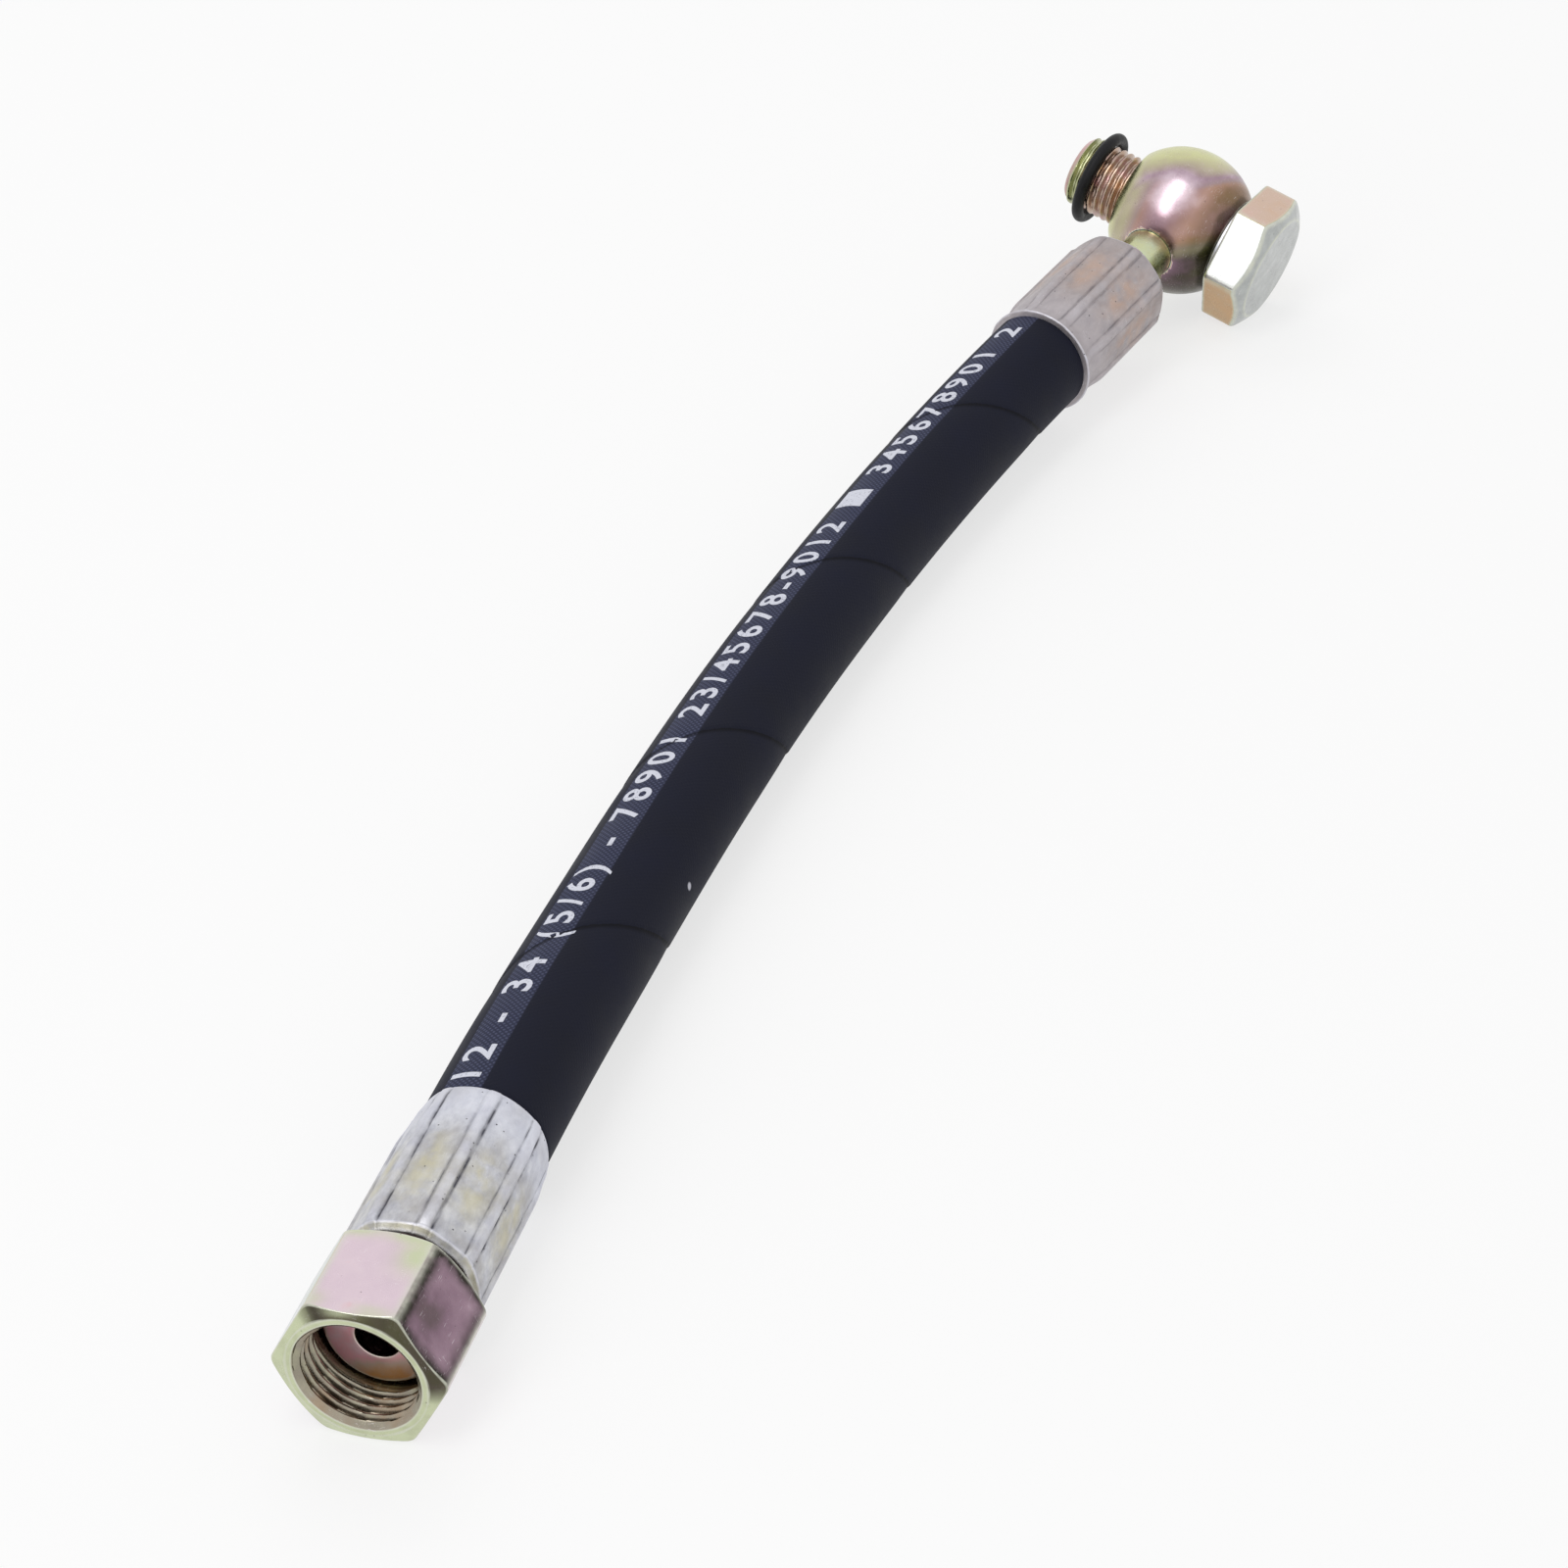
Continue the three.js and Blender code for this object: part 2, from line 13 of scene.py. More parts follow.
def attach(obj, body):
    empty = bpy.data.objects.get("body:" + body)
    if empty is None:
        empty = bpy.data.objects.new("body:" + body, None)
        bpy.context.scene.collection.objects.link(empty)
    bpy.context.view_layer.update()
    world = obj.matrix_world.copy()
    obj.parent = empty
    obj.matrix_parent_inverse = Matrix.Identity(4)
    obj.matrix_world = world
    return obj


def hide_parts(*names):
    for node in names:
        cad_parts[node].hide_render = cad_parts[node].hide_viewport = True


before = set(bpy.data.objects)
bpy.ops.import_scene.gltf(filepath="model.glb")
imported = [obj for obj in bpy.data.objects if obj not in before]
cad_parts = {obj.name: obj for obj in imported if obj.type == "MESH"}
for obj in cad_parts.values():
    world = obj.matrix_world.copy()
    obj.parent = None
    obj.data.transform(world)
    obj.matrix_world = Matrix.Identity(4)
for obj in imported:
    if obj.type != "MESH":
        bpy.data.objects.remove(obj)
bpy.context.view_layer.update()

# ---- Camera ----
# It stands beyond the swivel nut and above it, and looks along the hose, so the nut is large and
# the banjo eye small. The lens is a 90 mm one on a 36 mm wide square frame.

camera_place = Vector((-0.51896, -0.14764, 0.36076))
camera_azimuth = math.radians(17.86)
camera_elevation = math.radians(-34.37)
camera_roll = math.radians(-3.36)

level = math.cos(camera_elevation)
forward = Vector((
    level * math.cos(camera_azimuth),
    level * math.sin(camera_azimuth),
    math.sin(camera_elevation),
))
level_right = forward.cross(Vector((0, 0, 1))).normalized()
level_up = level_right.cross(forward)
right = math.cos(camera_roll) * level_right + math.sin(camera_roll) * level_up
up = math.cos(camera_roll) * level_up - math.sin(camera_roll) * level_right

camera_data = bpy.data.cameras.new("camera")
camera_data.sensor_fit = "HORIZONTAL"
camera_data.sensor_width = 36
camera_data.lens = 90
camera_data.clip_start = 0.01
camera = bpy.data.objects.new("camera", camera_data)
turn = Matrix((right, up, -forward)).transposed()
camera.matrix_world = Matrix.Translation(camera_place) @ turn.to_4x4()
bpy.context.scene.collection.objects.link(camera)
bpy.context.scene.camera = camera

# ---- Hose cover ----
# Black synthetic rubber, cured under a wound cloth tape. The tape leaves a fine weave and a spiral
# step, and a printing wheel leaves a smoother strip along one side. Ferrules grip both its ends.

MM = 0.001
row_gap = 0.8 * MM
route = [
    (-0.15297, 0.02627, 0.011),
    (-0.13997, 0.02627, 0.011),
    (-0.12597, 0.02627, 0.011),
    (-0.11207, 0.02622, 0.01089),
    (-0.09827, 0.02606, 0.01055),
    (-0.08437, 0.02579, 0.01003),
    (-0.07057, 0.02538, 0.00968),
    (-0.05667, 0.02483, 0.00956),
    (-0.04287, 0.02412, 0.00956),
    (-0.02907, 0.02323, 0.00956),
    (-0.01517, 0.02215, 0.00956),
    (-0.00137, 0.02085, 0.00956),
    (0.01233, 0.01933, 0.00956),
    (0.02613, 0.01755, 0.00958),
    (0.03983, 0.01549, 0.00974),
    (0.05343, 0.01314, 0.01006),
    (0.06703, 0.01047, 0.01054),
    (0.08053, 0.00746, 0.01118),
    (0.09403, 0.00408, 0.01197),
    (0.10728, 0.0003, 0.01296),
    (0.12063, -0.00372, 0.01402),
    (0.13383, -0.00769, 0.01506),
]


def smooth_line(points, step):
    """Even steps along the curve that passes through the points."""
    p = np.array([2 * Vector(points[0]) - Vector(points[1]), *points])
    p = np.vstack([p, 2 * p[-1] - p[-2]])
    t = np.linspace(0, 1, 40, endpoint=False)[:, None]
    stretches = []
    for a, b, c, d in zip(p[:-3], p[1:-2], p[2:-1], p[3:]):
        bend = 2 * a - 5 * b + 4 * c - d
        twist = 3 * (b - c) + d - a
        stretches.append(b + 0.5 * ((c - a) * t + bend * t**2 + twist * t**3))
    line = np.vstack([*stretches, p[-2]])
    along = np.insert(np.cumsum(np.linalg.norm(np.diff(line, axis=0), axis=1)), 0, 0)
    even = np.linspace(0, along[-1], round(along[-1] / step) + 1)
    return even, np.column_stack([np.interp(even, along, line[:, k]) for k in range(3)])


hose_along, hose_line = smooth_line(route, row_gap)
hose_length = float(hose_along[-1])
route_curve = bpy.data.curves.new("hose_route", "CURVE")
route_curve.dimensions = "3D"
spline = route_curve.splines.new("POLY")
spline.points.add(len(hose_line) - 1)
for point, place in zip(spline.points, hose_line):
    point.co = (*place, 1)
route_guide = bpy.data.objects.new("hose_route", route_curve)
bpy.context.scene.collection.objects.link(route_guide)


def add(tree, kind, inputs=(), **settings):
    """A new node with its settings. An input is a plain value or another node's socket."""
    node = tree.nodes.new(kind)
    for name, value in settings.items():
        setattr(node, name, value)
    for socket, value in dict(inputs).items():
        if isinstance(value, bpy.types.NodeSocket):
            tree.links.new(value, node.inputs[socket])
        else:
            node.inputs[socket].default_value = value
    return node


def maths(tree, operation, a, b=0.0):
    return add(tree, "ShaderNodeMath", {0: a, 1: b}, operation=operation).outputs[0]


def plus(tree, a, b):
    return maths(tree, "ADD", a, b)


def minus(tree, a, b):
    return maths(tree, "SUBTRACT", a, b)


def times(tree, a, b):
    return maths(tree, "MULTIPLY", a, b)


def divided(tree, a, b):
    return maths(tree, "DIVIDE", a, b)


def larger(tree, a, b):
    return maths(tree, "MAXIMUM", a, b)


def reach(tree, value, low, high, to_low=0.0, to_high=1.0):
    """Maps low..high onto to_low..to_high, and holds it there beyond."""
    inputs = {0: value, 1: low, 2: high, 3: to_low, 4: to_high}
    return add(tree, "ShaderNodeMapRange", inputs).outputs[0]


def vectors(tree, operation, a, b=(0, 0, 0)):
    return add(tree, "ShaderNodeVectorMath", {0: a, 1: b}, operation=operation).outputs[0]


def scaled(tree, vector, factor):
    inputs = {0: vector, "Scale": factor}
    return add(tree, "ShaderNodeVectorMath", inputs, operation="SCALE").outputs[0]


def new_group(kind, name, inputs, outputs):
    """A node group. Inputs are (name, kind of socket, value), and outputs (name, kind)."""
    group = bpy.data.node_groups.new(name, kind)
    for label, socket_kind, value in inputs:
        socket_type = "NodeSocket" + socket_kind
        socket = group.interface.new_socket(label, in_out="INPUT", socket_type=socket_type)
        if value is not None:
            socket.default_value = value
    for label, socket_kind in outputs:
        socket_type = "NodeSocket" + socket_kind
        group.interface.new_socket(label, in_out="OUTPUT", socket_type=socket_type)
    asked = group.nodes.new("NodeGroupInput").outputs
    given = group.nodes.new("NodeGroupOutput").inputs
    return group, asked, given


# The place at a length along the hose, an angle from its top and a distance from its middle.
on_hose, asked, given = new_group(
    "GeometryNodeTree",
    "on_hose",
    [
        ("Route", "Geometry", None),
        ("Along", "Float", 0.0),
        ("Angle", "Float", 0.0),
        ("Radius", "Float", 0.0),
    ],
    [("Position", "Vector")],
)
inputs = {"Curves": asked["Route"], "Length": asked["Along"]}
middle = add(on_hose, "GeometryNodeSampleCurve", inputs, mode="LENGTH").outputs
side = vectors(on_hose, "CROSS_PRODUCT", middle["Tangent"], (0, 0, 1))
side = vectors(on_hose, "NORMALIZE", side)
rise = vectors(on_hose, "CROSS_PRODUCT", side, middle["Tangent"])
upward = scaled(on_hose, rise, maths(on_hose, "COSINE", asked["Angle"]))
sideward = scaled(on_hose, side, maths(on_hose, "SINE", asked["Angle"]))
outward = scaled(on_hose, vectors(on_hose, "ADD", upward, sideward), asked["Radius"])
on_hose.links.new(vectors(on_hose, "ADD", middle["Position"], outward), given["Position"])

cover_radius = 9.55 * MM
cover_bore = 8.45 * MM
wrap_pitch = 54.9 * MM
wrap_start = 65.7 * MM
strip_middle = math.radians(-15.5)
strip_half = math.radians(19.5)

# The cover's radius: a step behind each turn of the tape, a dip along the strip, and a squeeze
# where the ferrules grip it.
cover_surface, asked, given = new_group(
    "GeometryNodeTree",
    "cover_surface",
    [
        ("Along", "Float", 0.0),
        ("Angle", "Float", 0.0),
        ("Hose length", "Float", hose_length),
        ("Cover radius", "Float", cover_radius),
        ("Gripped radius", "Float", 9.1 * MM),
        ("Gripped length", "Float", 27.1 * MM),
        ("Grip ramp", "Float", 0.6 * MM),
        ("Wrap pitch", "Float", wrap_pitch),
        ("Wrap start", "Float", wrap_start),
        ("Wrap step", "Float", 0.2 * MM),
        ("Wrap fade", "Float", 4 * MM),
        ("Strip middle", "Float", strip_middle),
        ("Strip half", "Float", strip_half),
        ("Strip dip", "Float", 0.1 * MM),
    ],
    [("Radius", "Float")],
)
tree = cover_surface
wound = times(tree, divided(tree, asked["Angle"], 2 * math.pi), asked["Wrap pitch"])
behind = minus(tree, plus(tree, asked["Wrap start"], wound), asked["Along"])
behind = maths(tree, "FLOORED_MODULO", behind, asked["Wrap pitch"])
faded = divided(tree, behind, asked["Wrap fade"])
step_here = maths(tree, "EXPONENT", minus(tree, 0.0, faded))
radius = minus(tree, asked["Cover radius"], times(tree, asked["Wrap step"], step_here))
off_strip = maths(tree, "ABSOLUTE", minus(tree, asked["Angle"], asked["Strip middle"]))
off_strip = divided(tree, off_strip, asked["Strip half"])
dip_here = reach(tree, minus(tree, 1.2, times(tree, off_strip, off_strip)), 0.0, 1.0)
radius = minus(tree, radius, times(tree, asked["Strip dip"], dip_here))
to_far_end = minus(tree, asked["Hose length"], asked["Along"])
from_end = maths(tree, "MINIMUM", asked["Along"], to_far_end)
in_grip = minus(tree, asked["Gripped length"], from_end)
squeeze = reach(tree, in_grip, 0.0, asked["Grip ramp"])
squeezed = times(tree, minus(tree, asked["Gripped radius"], radius), squeeze)
tree.links.new(plus(tree, radius, squeezed), given["Radius"])

# A flat sheet, as wide as the cover is round. Its rows run out along the outside and back along
# the bore, and its flat places become the map "surface", in metres, that the rubber's patterns
# and the print follow.
wrapped_hose, asked, given = new_group(
    "GeometryNodeTree",
    "wrapped_hose",
    [
        ("Geometry", "Geometry", None),
        ("Route", "Object", None),
        ("Material", "Material", None),
        ("Rows", "Int", len(hose_line)),
        ("Sides", "Int", 120),
        ("Cover radius", "Float", cover_radius),
        ("Bore radius", "Float", cover_bore),
    ],
    [("Geometry", "Geometry")],
)
tree = wrapped_hose
route_here = add(tree, "GeometryNodeObjectInfo", {"Object": asked["Route"]}).outputs["Geometry"]
length = add(tree, "GeometryNodeCurveLength", {"Curve": route_here}).outputs["Length"]
both_walls = times(tree, asked["Rows"], 2.0)
girth = times(tree, asked["Cover radius"], 2 * math.pi)
inputs = {
    "Size X": girth,
    "Size Y": both_walls,
    "Vertices X": plus(tree, asked["Sides"], 1.0),
    "Vertices Y": plus(tree, both_walls, 1.0),
}
sheet = add(tree, "GeometryNodeMeshGrid", inputs).outputs["Mesh"]
flat_spot = add(tree, "GeometryNodeInputPosition").outputs[0]
flat_spot = add(tree, "ShaderNodeSeparateXYZ", {0: flat_spot}).outputs
turn_share = divided(tree, flat_spot["X"], girth)
column = maths(tree, "ROUND", times(tree, turn_share, asked["Sides"]))
half_sides = divided(tree, asked["Sides"], 2.0)
column = maths(tree, "FLOORED_MODULO", plus(tree, column, half_sides), asked["Sides"])
column = divided(tree, minus(tree, column, half_sides), asked["Sides"])
angle = times(tree, column, 2 * math.pi)
row = maths(tree, "ROUND", plus(tree, flat_spot["Y"], asked["Rows"]))
far_end = minus(tree, asked["Rows"], 0.5)
row_along = minus(tree, far_end, maths(tree, "ABSOLUTE", minus(tree, row, far_end)))
row_along = divided(tree, larger(tree, row_along, 0.0), minus(tree, asked["Rows"], 1.0))
along = times(tree, row_along, length)
bore_middle = plus(tree, far_end, divided(tree, asked["Rows"], 2.0))
off_bore = maths(tree, "ABSOLUTE", minus(tree, row, bore_middle))
in_bore = maths(tree, "LESS_THAN", off_bore, divided(tree, asked["Rows"], 2.0))
surface = add(tree, "ShaderNodeCombineXYZ", {"X": flat_spot["X"], "Y": along}).outputs[0]
inputs = {"Geometry": sheet, "Name": "surface", "Value": surface}
settings = {"data_type": "FLOAT2", "domain": "CORNER"}
sheet = add(tree, "GeometryNodeStoreNamedAttribute", inputs, **settings).outputs["Geometry"]
inputs = {"Along": along, "Angle": angle}
radius = add(tree, "GeometryNodeGroup", inputs, node_tree=cover_surface).outputs["Radius"]
radius = plus(tree, radius, times(tree, minus(tree, asked["Bore radius"], radius), in_bore))
inputs = {"Route": route_here, "Along": along, "Angle": angle, "Radius": radius}
position = add(tree, "GeometryNodeGroup", inputs, node_tree=on_hose).outputs["Position"]


def give_shape(tree, shape, position, asked, given):
    """The end of a tree that shapes a piece: its points moved, and its material set."""
    inputs = {"Geometry": shape, "Position": position}
    shape = add(tree, "GeometryNodeSetPosition", inputs).outputs["Geometry"]
    shape = add(tree, "GeometryNodeRealizeInstances", {"Geometry": shape}).outputs["Geometry"]
    inputs = {"Geometry": shape, "Material": asked["Material"]}
    shape = add(tree, "GeometryNodeSetMaterial", inputs).outputs["Geometry"]
    tree.links.new(shape, given["Geometry"])


give_shape(wrapped_hose, sheet, position, asked, given)


def linear(*color):
    """A colour in 0 to 255, as a screen shows it, for a shader."""
    return [((c / 255 + 0.055) / 1.055) ** 2.4 if c > 10 else c / 3295 for c in color] + [1]


def new_material(name, **settings):
    material = bpy.data.materials.new(name)
    material.use_nodes = True
    shader = material.node_tree.nodes["Principled BSDF"]
    for socket, value in settings.items():
        shader.inputs[socket.replace("_", " ")].default_value = value
    return material, material.node_tree, shader


def mix(tree, factor, a, b, blend="MIX"):
    inputs = {0: factor, 6: a, 7: b}
    return add(tree, "ShaderNodeMix", inputs, data_type="RGBA", blend_type=blend).outputs[2]


def noise(tree, place, scale, detail=3.0, stretch=(1, 1, 1), shift=(0, 0, 0), roughness=0.5):
    inputs = {"Vector": place, "Location": shift, "Scale": stretch}
    spot = add(tree, "ShaderNodeMapping", inputs).outputs[0]
    inputs = {"Vector": spot, "Scale": scale, "Detail": detail, "Roughness": roughness}
    return add(tree, "ShaderNodeTexNoise", inputs).outputs["Fac"]


def emboss(tree, shader, height, depth, strength):
    """Shades the surface as if its height, from 0 to 1, stood out by depth."""
    inputs = {"Strength": strength, "Distance": depth, "Height": height}
    bump = add(tree, "ShaderNodeBump", inputs).outputs[0]
    tree.links.new(bump, shader.inputs["Normal"])


rubber, tree, shader = new_material("cover_rubber", Specular_IOR_Level=0.12)
place = add(tree, "ShaderNodeUVMap", uv_map="surface").outputs[0]
inputs = {"Vector": place, "Rotation": (0, 0, math.radians(42.5))}
tape = add(tree, "ShaderNodeMapping", inputs).outputs[0]
inputs = {"Vector": tape, "Scale": 470.0, "Distortion": 0.6}
warp = add(tree, "ShaderNodeTexWave", inputs, bands_direction="X").outputs["Fac"]
weft = add(tree, "ShaderNodeTexWave", inputs, bands_direction="Y").outputs["Fac"]
weave = times(tree, warp, weft)
cloud = noise(tree, place, 90.0, 4.0)
grit = noise(tree, place, 2500.0, 2.0)
around = add(tree, "ShaderNodeSeparateXYZ", {0: place}).outputs
off_strip = minus(tree, around[0], strip_middle * cover_radius)
off_strip = maths(tree, "ABSOLUTE", off_strip)
strip_edge = strip_half * cover_radius
strip = reach(tree, off_strip, strip_edge, strip_edge - 0.25 * MM)
# The smoother strip is painted paler than the rest of the cover: a painted sheen.
dark = mix(tree, reach(tree, cloud, 0.3, 0.7), linear(18, 20, 33), linear(25, 27, 42))
strip_sheen = mix(tree, reach(tree, weave, 0.1, 0.7), linear(45, 48, 68), linear(74, 78, 102))
colour = mix(tree, strip, dark, strip_sheen)
# Just behind each turn of the tape a dark line is painted: painted shade in the tape's step.
slant = times(tree, around[0], wrap_pitch / (2 * math.pi * cover_radius))
from_lap = plus(tree, minus(tree, slant, around[1]), wrap_start)
from_lap = maths(tree, "FLOORED_MODULO", from_lap, wrap_pitch)
lap_shade = reach(tree, from_lap, 0.3 * MM, 1.3 * MM, 0.75, 0.0)
colour = mix(tree, lap_shade, colour, linear(5, 5, 9))
specks = add(tree, "ShaderNodeTexVoronoi", {"Vector": place, "Scale": 55.0}).outputs["Distance"]
dust = reach(tree, specks, 0.028, 0.018, 0.0, 0.5)
colour = mix(tree, dust, colour, linear(150, 150, 165))
fleck_place = (cover_radius * math.radians(80), 91.3 * MM, 0)
from_fleck = add(tree, "ShaderNodeVectorMath", {0: place, 1: fleck_place}, operation="DISTANCE")
fleck = reach(tree, from_fleck.outputs["Value"], 0.75 * MM, 0.45 * MM)
colour = mix(tree, fleck, colour, linear(196, 196, 206))
tree.links.new(colour, shader.inputs["Base Color"])
rough = reach(tree, cloud, 0.25, 0.75, 0.55, 0.7)
tree.links.new(rough, shader.inputs["Roughness"])
height = plus(tree, times(tree, weave, 0.7), times(tree, grit, 0.4))
emboss(tree, shader, height, 0.06 * MM, 0.35)


def shaped_by(tree, name, start, inputs):
    """A piece that a geometry tree makes from a starting mesh, left as a plain mesh."""
    piece = bpy.data.objects.new(name, start)
    bpy.context.scene.collection.objects.link(piece)
    maker = piece.modifiers.new("maker", "NODES")
    maker.node_group = tree
    for socket in tree.interface.items_tree:
        if socket.name in inputs:
            maker[socket.identifier] = inputs[socket.name]
    scene_now = bpy.context.evaluated_depsgraph_get()
    shape = bpy.data.meshes.new_from_object(piece.evaluated_get(scene_now))
    if shape.materials[0] is None:
        shape.materials.pop(index=0)
    piece.modifiers.remove(maker)
    piece.data = shape
    return piece


def close_and_smooth(piece, crease=35):
    """Merges doubles, turns the faces outwards and shades them smooth up to the crease angle."""
    form = bmesh.new()
    form.from_mesh(piece.data)
    bmesh.ops.remove_doubles(form, verts=form.verts, dist=1e-7)
    bmesh.ops.dissolve_degenerate(form, edges=form.edges, dist=1e-8)
    bmesh.ops.recalc_face_normals(form, faces=form.faces)
    form.to_mesh(piece.data)
    form.free()
    piece.data.shade_smooth()
    piece.data.set_sharp_from_angle(angle=math.radians(crease))


inputs = {"Route": route_guide, "Material": rubber}
cover = shaped_by(wrapped_hose, "cover", bpy.data.meshes.new("cover"), inputs)
close_and_smooth(cover, crease=50)
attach(cover, "hose")
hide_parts("hose_cover")

# ---- Printed line ----
# White ink that a printing wheel leaves along the smooth strip. It is a row of generic figures and
# dashes, and stands a little proud of the rubber.

print_start = 27.9 * MM
print_base = math.radians(-4)
letter_stretch = 1.16
ink_sunk = 0.02 * MM
cut_up_every = 0.5 * MM
cut_along_every = 2 * MM
letter_height = 5 * MM
lettering = bpy.data.curves.new("printed_figures", "FONT")
lettering.body = "12 - 34 (5/6) - 78901 23/45678-9012 \u25a0 345678901 2"
lettering.size = 6.6 * MM
lettering.space_character = 1.36
lettering.offset = 0.12 * MM
lettering.extrude = 0.05 * MM
lettering.resolution_u = 4
stencil = bpy.data.objects.new("printed_figures", lettering)
flat_print = bpy.data.meshes.new_from_object(stencil)
bpy.data.objects.remove(stencil)
form = bmesh.new()
form.from_mesh(flat_print)
bmesh.ops.remove_doubles(form, verts=form.verts, dist=1e-6)
print_length = max(v.co.x for v in form.verts)
for axis, end, step in ((1, letter_height, cut_up_every), (0, print_length, cut_along_every)):
    for cut in np.arange(0, end, step):
        whole = form.verts[:] + form.edges[:] + form.faces[:]
        normal = (axis == 0, axis == 1, 0)
        spot = [cut * n for n in normal]
        bmesh.ops.bisect_plane(form, geom=whole, plane_co=spot, plane_no=normal)
bmesh.ops.triangulate(form, faces=form.faces[:])
form.to_mesh(flat_print)
form.free()

# Lays the flat figures round the cover, wherever its surface is.
print_on_hose, asked, given = new_group(
    "GeometryNodeTree",
    "print_on_hose",
    [
        ("Geometry", "Geometry", None),
        ("Route", "Object", None),
        ("Material", "Material", None),
        ("Start", "Float", print_start),
        ("Base angle", "Float", print_base),
        ("Cover radius", "Float", cover_radius),
        ("Stretch", "Float", letter_stretch),
        ("Sunk", "Float", ink_sunk),
    ],
    [("Geometry", "Geometry")],
)
tree = print_on_hose
route_here = add(tree, "GeometryNodeObjectInfo", {"Object": asked["Route"]}).outputs["Geometry"]
flat_spot = add(tree, "GeometryNodeInputPosition").outputs[0]
flat_spot = add(tree, "ShaderNodeSeparateXYZ", {0: flat_spot}).outputs
along = plus(tree, times(tree, flat_spot["X"], asked["Stretch"]), asked["Start"])
round_hose = divided(tree, flat_spot["Y"], asked["Cover radius"])
angle = minus(tree, asked["Base angle"], round_hose)
inputs = {"Along": along, "Angle": angle}
radius = add(tree, "GeometryNodeGroup", inputs, node_tree=cover_surface).outputs["Radius"]
radius = plus(tree, radius, minus(tree, flat_spot["Z"], asked["Sunk"]))
inputs = {"Route": route_here, "Along": along, "Angle": angle, "Radius": radius}
position = add(tree, "GeometryNodeGroup", inputs, node_tree=on_hose).outputs["Position"]
give_shape(print_on_hose, asked["Geometry"], position, asked, given)

ink, tree, shader = new_material("print_ink", Roughness=0.6, Specular_IOR_Level=0.3)
place = add(tree, "ShaderNodeTexCoord").outputs["Object"]
speckle = noise(tree, place, 2600.0, 3.0)
fade = noise(tree, place, 260.0, 2.0)
gone = times(tree, reach(tree, speckle, 0.56, 0.7), reach(tree, fade, 0.4, 0.7, 0.2, 0.9))
colour = mix(tree, gone, linear(216, 218, 230), linear(88, 90, 110))
tree.links.new(colour, shader.inputs["Base Color"])
emboss(tree, shader, speckle, 0.05 * MM, 0.3)
inputs = {"Route": route_guide, "Material": ink}
figures = shaped_by(print_on_hose, "printed_figures", flat_print, inputs)
bpy.data.objects.remove(route_guide)
close_and_smooth(figures, crease=40)
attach(figures, "hose")

# ---- Layers under the cover ----
# A rubber tube that holds the oil, two braids of brass-coated steel wire round it, and a thin
# rubber layer between them. The CAD solids carry them. Only a cut end would show them.

lining, tree, shader = new_material("lining_rubber", Specular_IOR_Level=0.3)
place = add(tree, "ShaderNodeTexCoord").outputs["Object"]
cloud = noise(tree, place, 300.0, 4.0)
colour = mix(tree, reach(tree, cloud, 0.3, 0.7), linear(20, 20, 23), linear(34, 34, 38))
tree.links.new(colour, shader.inputs["Base Color"])
tree.links.new(reach(tree, cloud, 0.3, 0.7, 0.5, 0.68), shader.inputs["Roughness"])
emboss(tree, shader, cloud, 0.04 * MM, 0.3)

braid, tree, shader = new_material("braid_wire", Metallic=1.0)
place = add(tree, "ShaderNodeTexCoord").outputs["Object"]
wires = []
for lean in (54.7, -54.7):
    inputs = {"Vector": place, "Rotation": (0, 0, math.radians(lean))}
    leaning = add(tree, "ShaderNodeMapping", inputs).outputs[0]
    inputs = {"Vector": leaning, "Scale": 550.0, "Distortion": 0.4}
    wires.append(add(tree, "ShaderNodeTexWave", inputs).outputs["Fac"])
plait = add(tree, "ShaderNodeTexChecker", {"Vector": leaning, "Scale": 260.0}).outputs["Fac"]
strands = mix(tree, plait, wires[0], wires[1])
colour = mix(tree, strands, linear(96, 74, 38), linear(204, 172, 104))
tree.links.new(colour, shader.inputs["Base Color"])
tree.links.new(reach(tree, wires[0], 0.0, 1.0, 0.5, 0.32), shader.inputs["Roughness"])
emboss(tree, shader, strands, 0.15 * MM, 0.6)
for layer, finish in (
    ("hose_inner_tube", lining),
    ("hose_inner_braid", braid),
    ("hose_middle_layer", lining),
    ("hose_outer_braid", braid),
):
    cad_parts[layer].data.materials.clear()
    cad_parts[layer].data.materials.append(finish)

# ---- Crimp ferrules ----
# Zinc-plated steel sleeves. Eight dies closed each one on the hose, and left eight flats with a
# ridge squeezed up between each two. The far one ends in a belled lip, the near one in a thin one.

near_corner = (-0.15667, 0.02627, 0.011)
near_place = Matrix.Translation(near_corner)
far_ahead = (Vector(route[-1]) - Vector(route[-2])).normalized()
far_side = far_ahead.cross(Vector((0, 0, 1))).normalized()
far_basis = Matrix((-far_ahead, far_side, -far_ahead.cross(far_side))).transposed()
hose_inset = 3.7 * MM
far_corner = Vector(route[-1]) + hose_inset * far_ahead
banjo_roll = Matrix.Rotation(math.radians(-17.04), 4, "X")
far_place = Matrix.Translation(far_corner) @ far_basis.to_4x4() @ banjo_roll


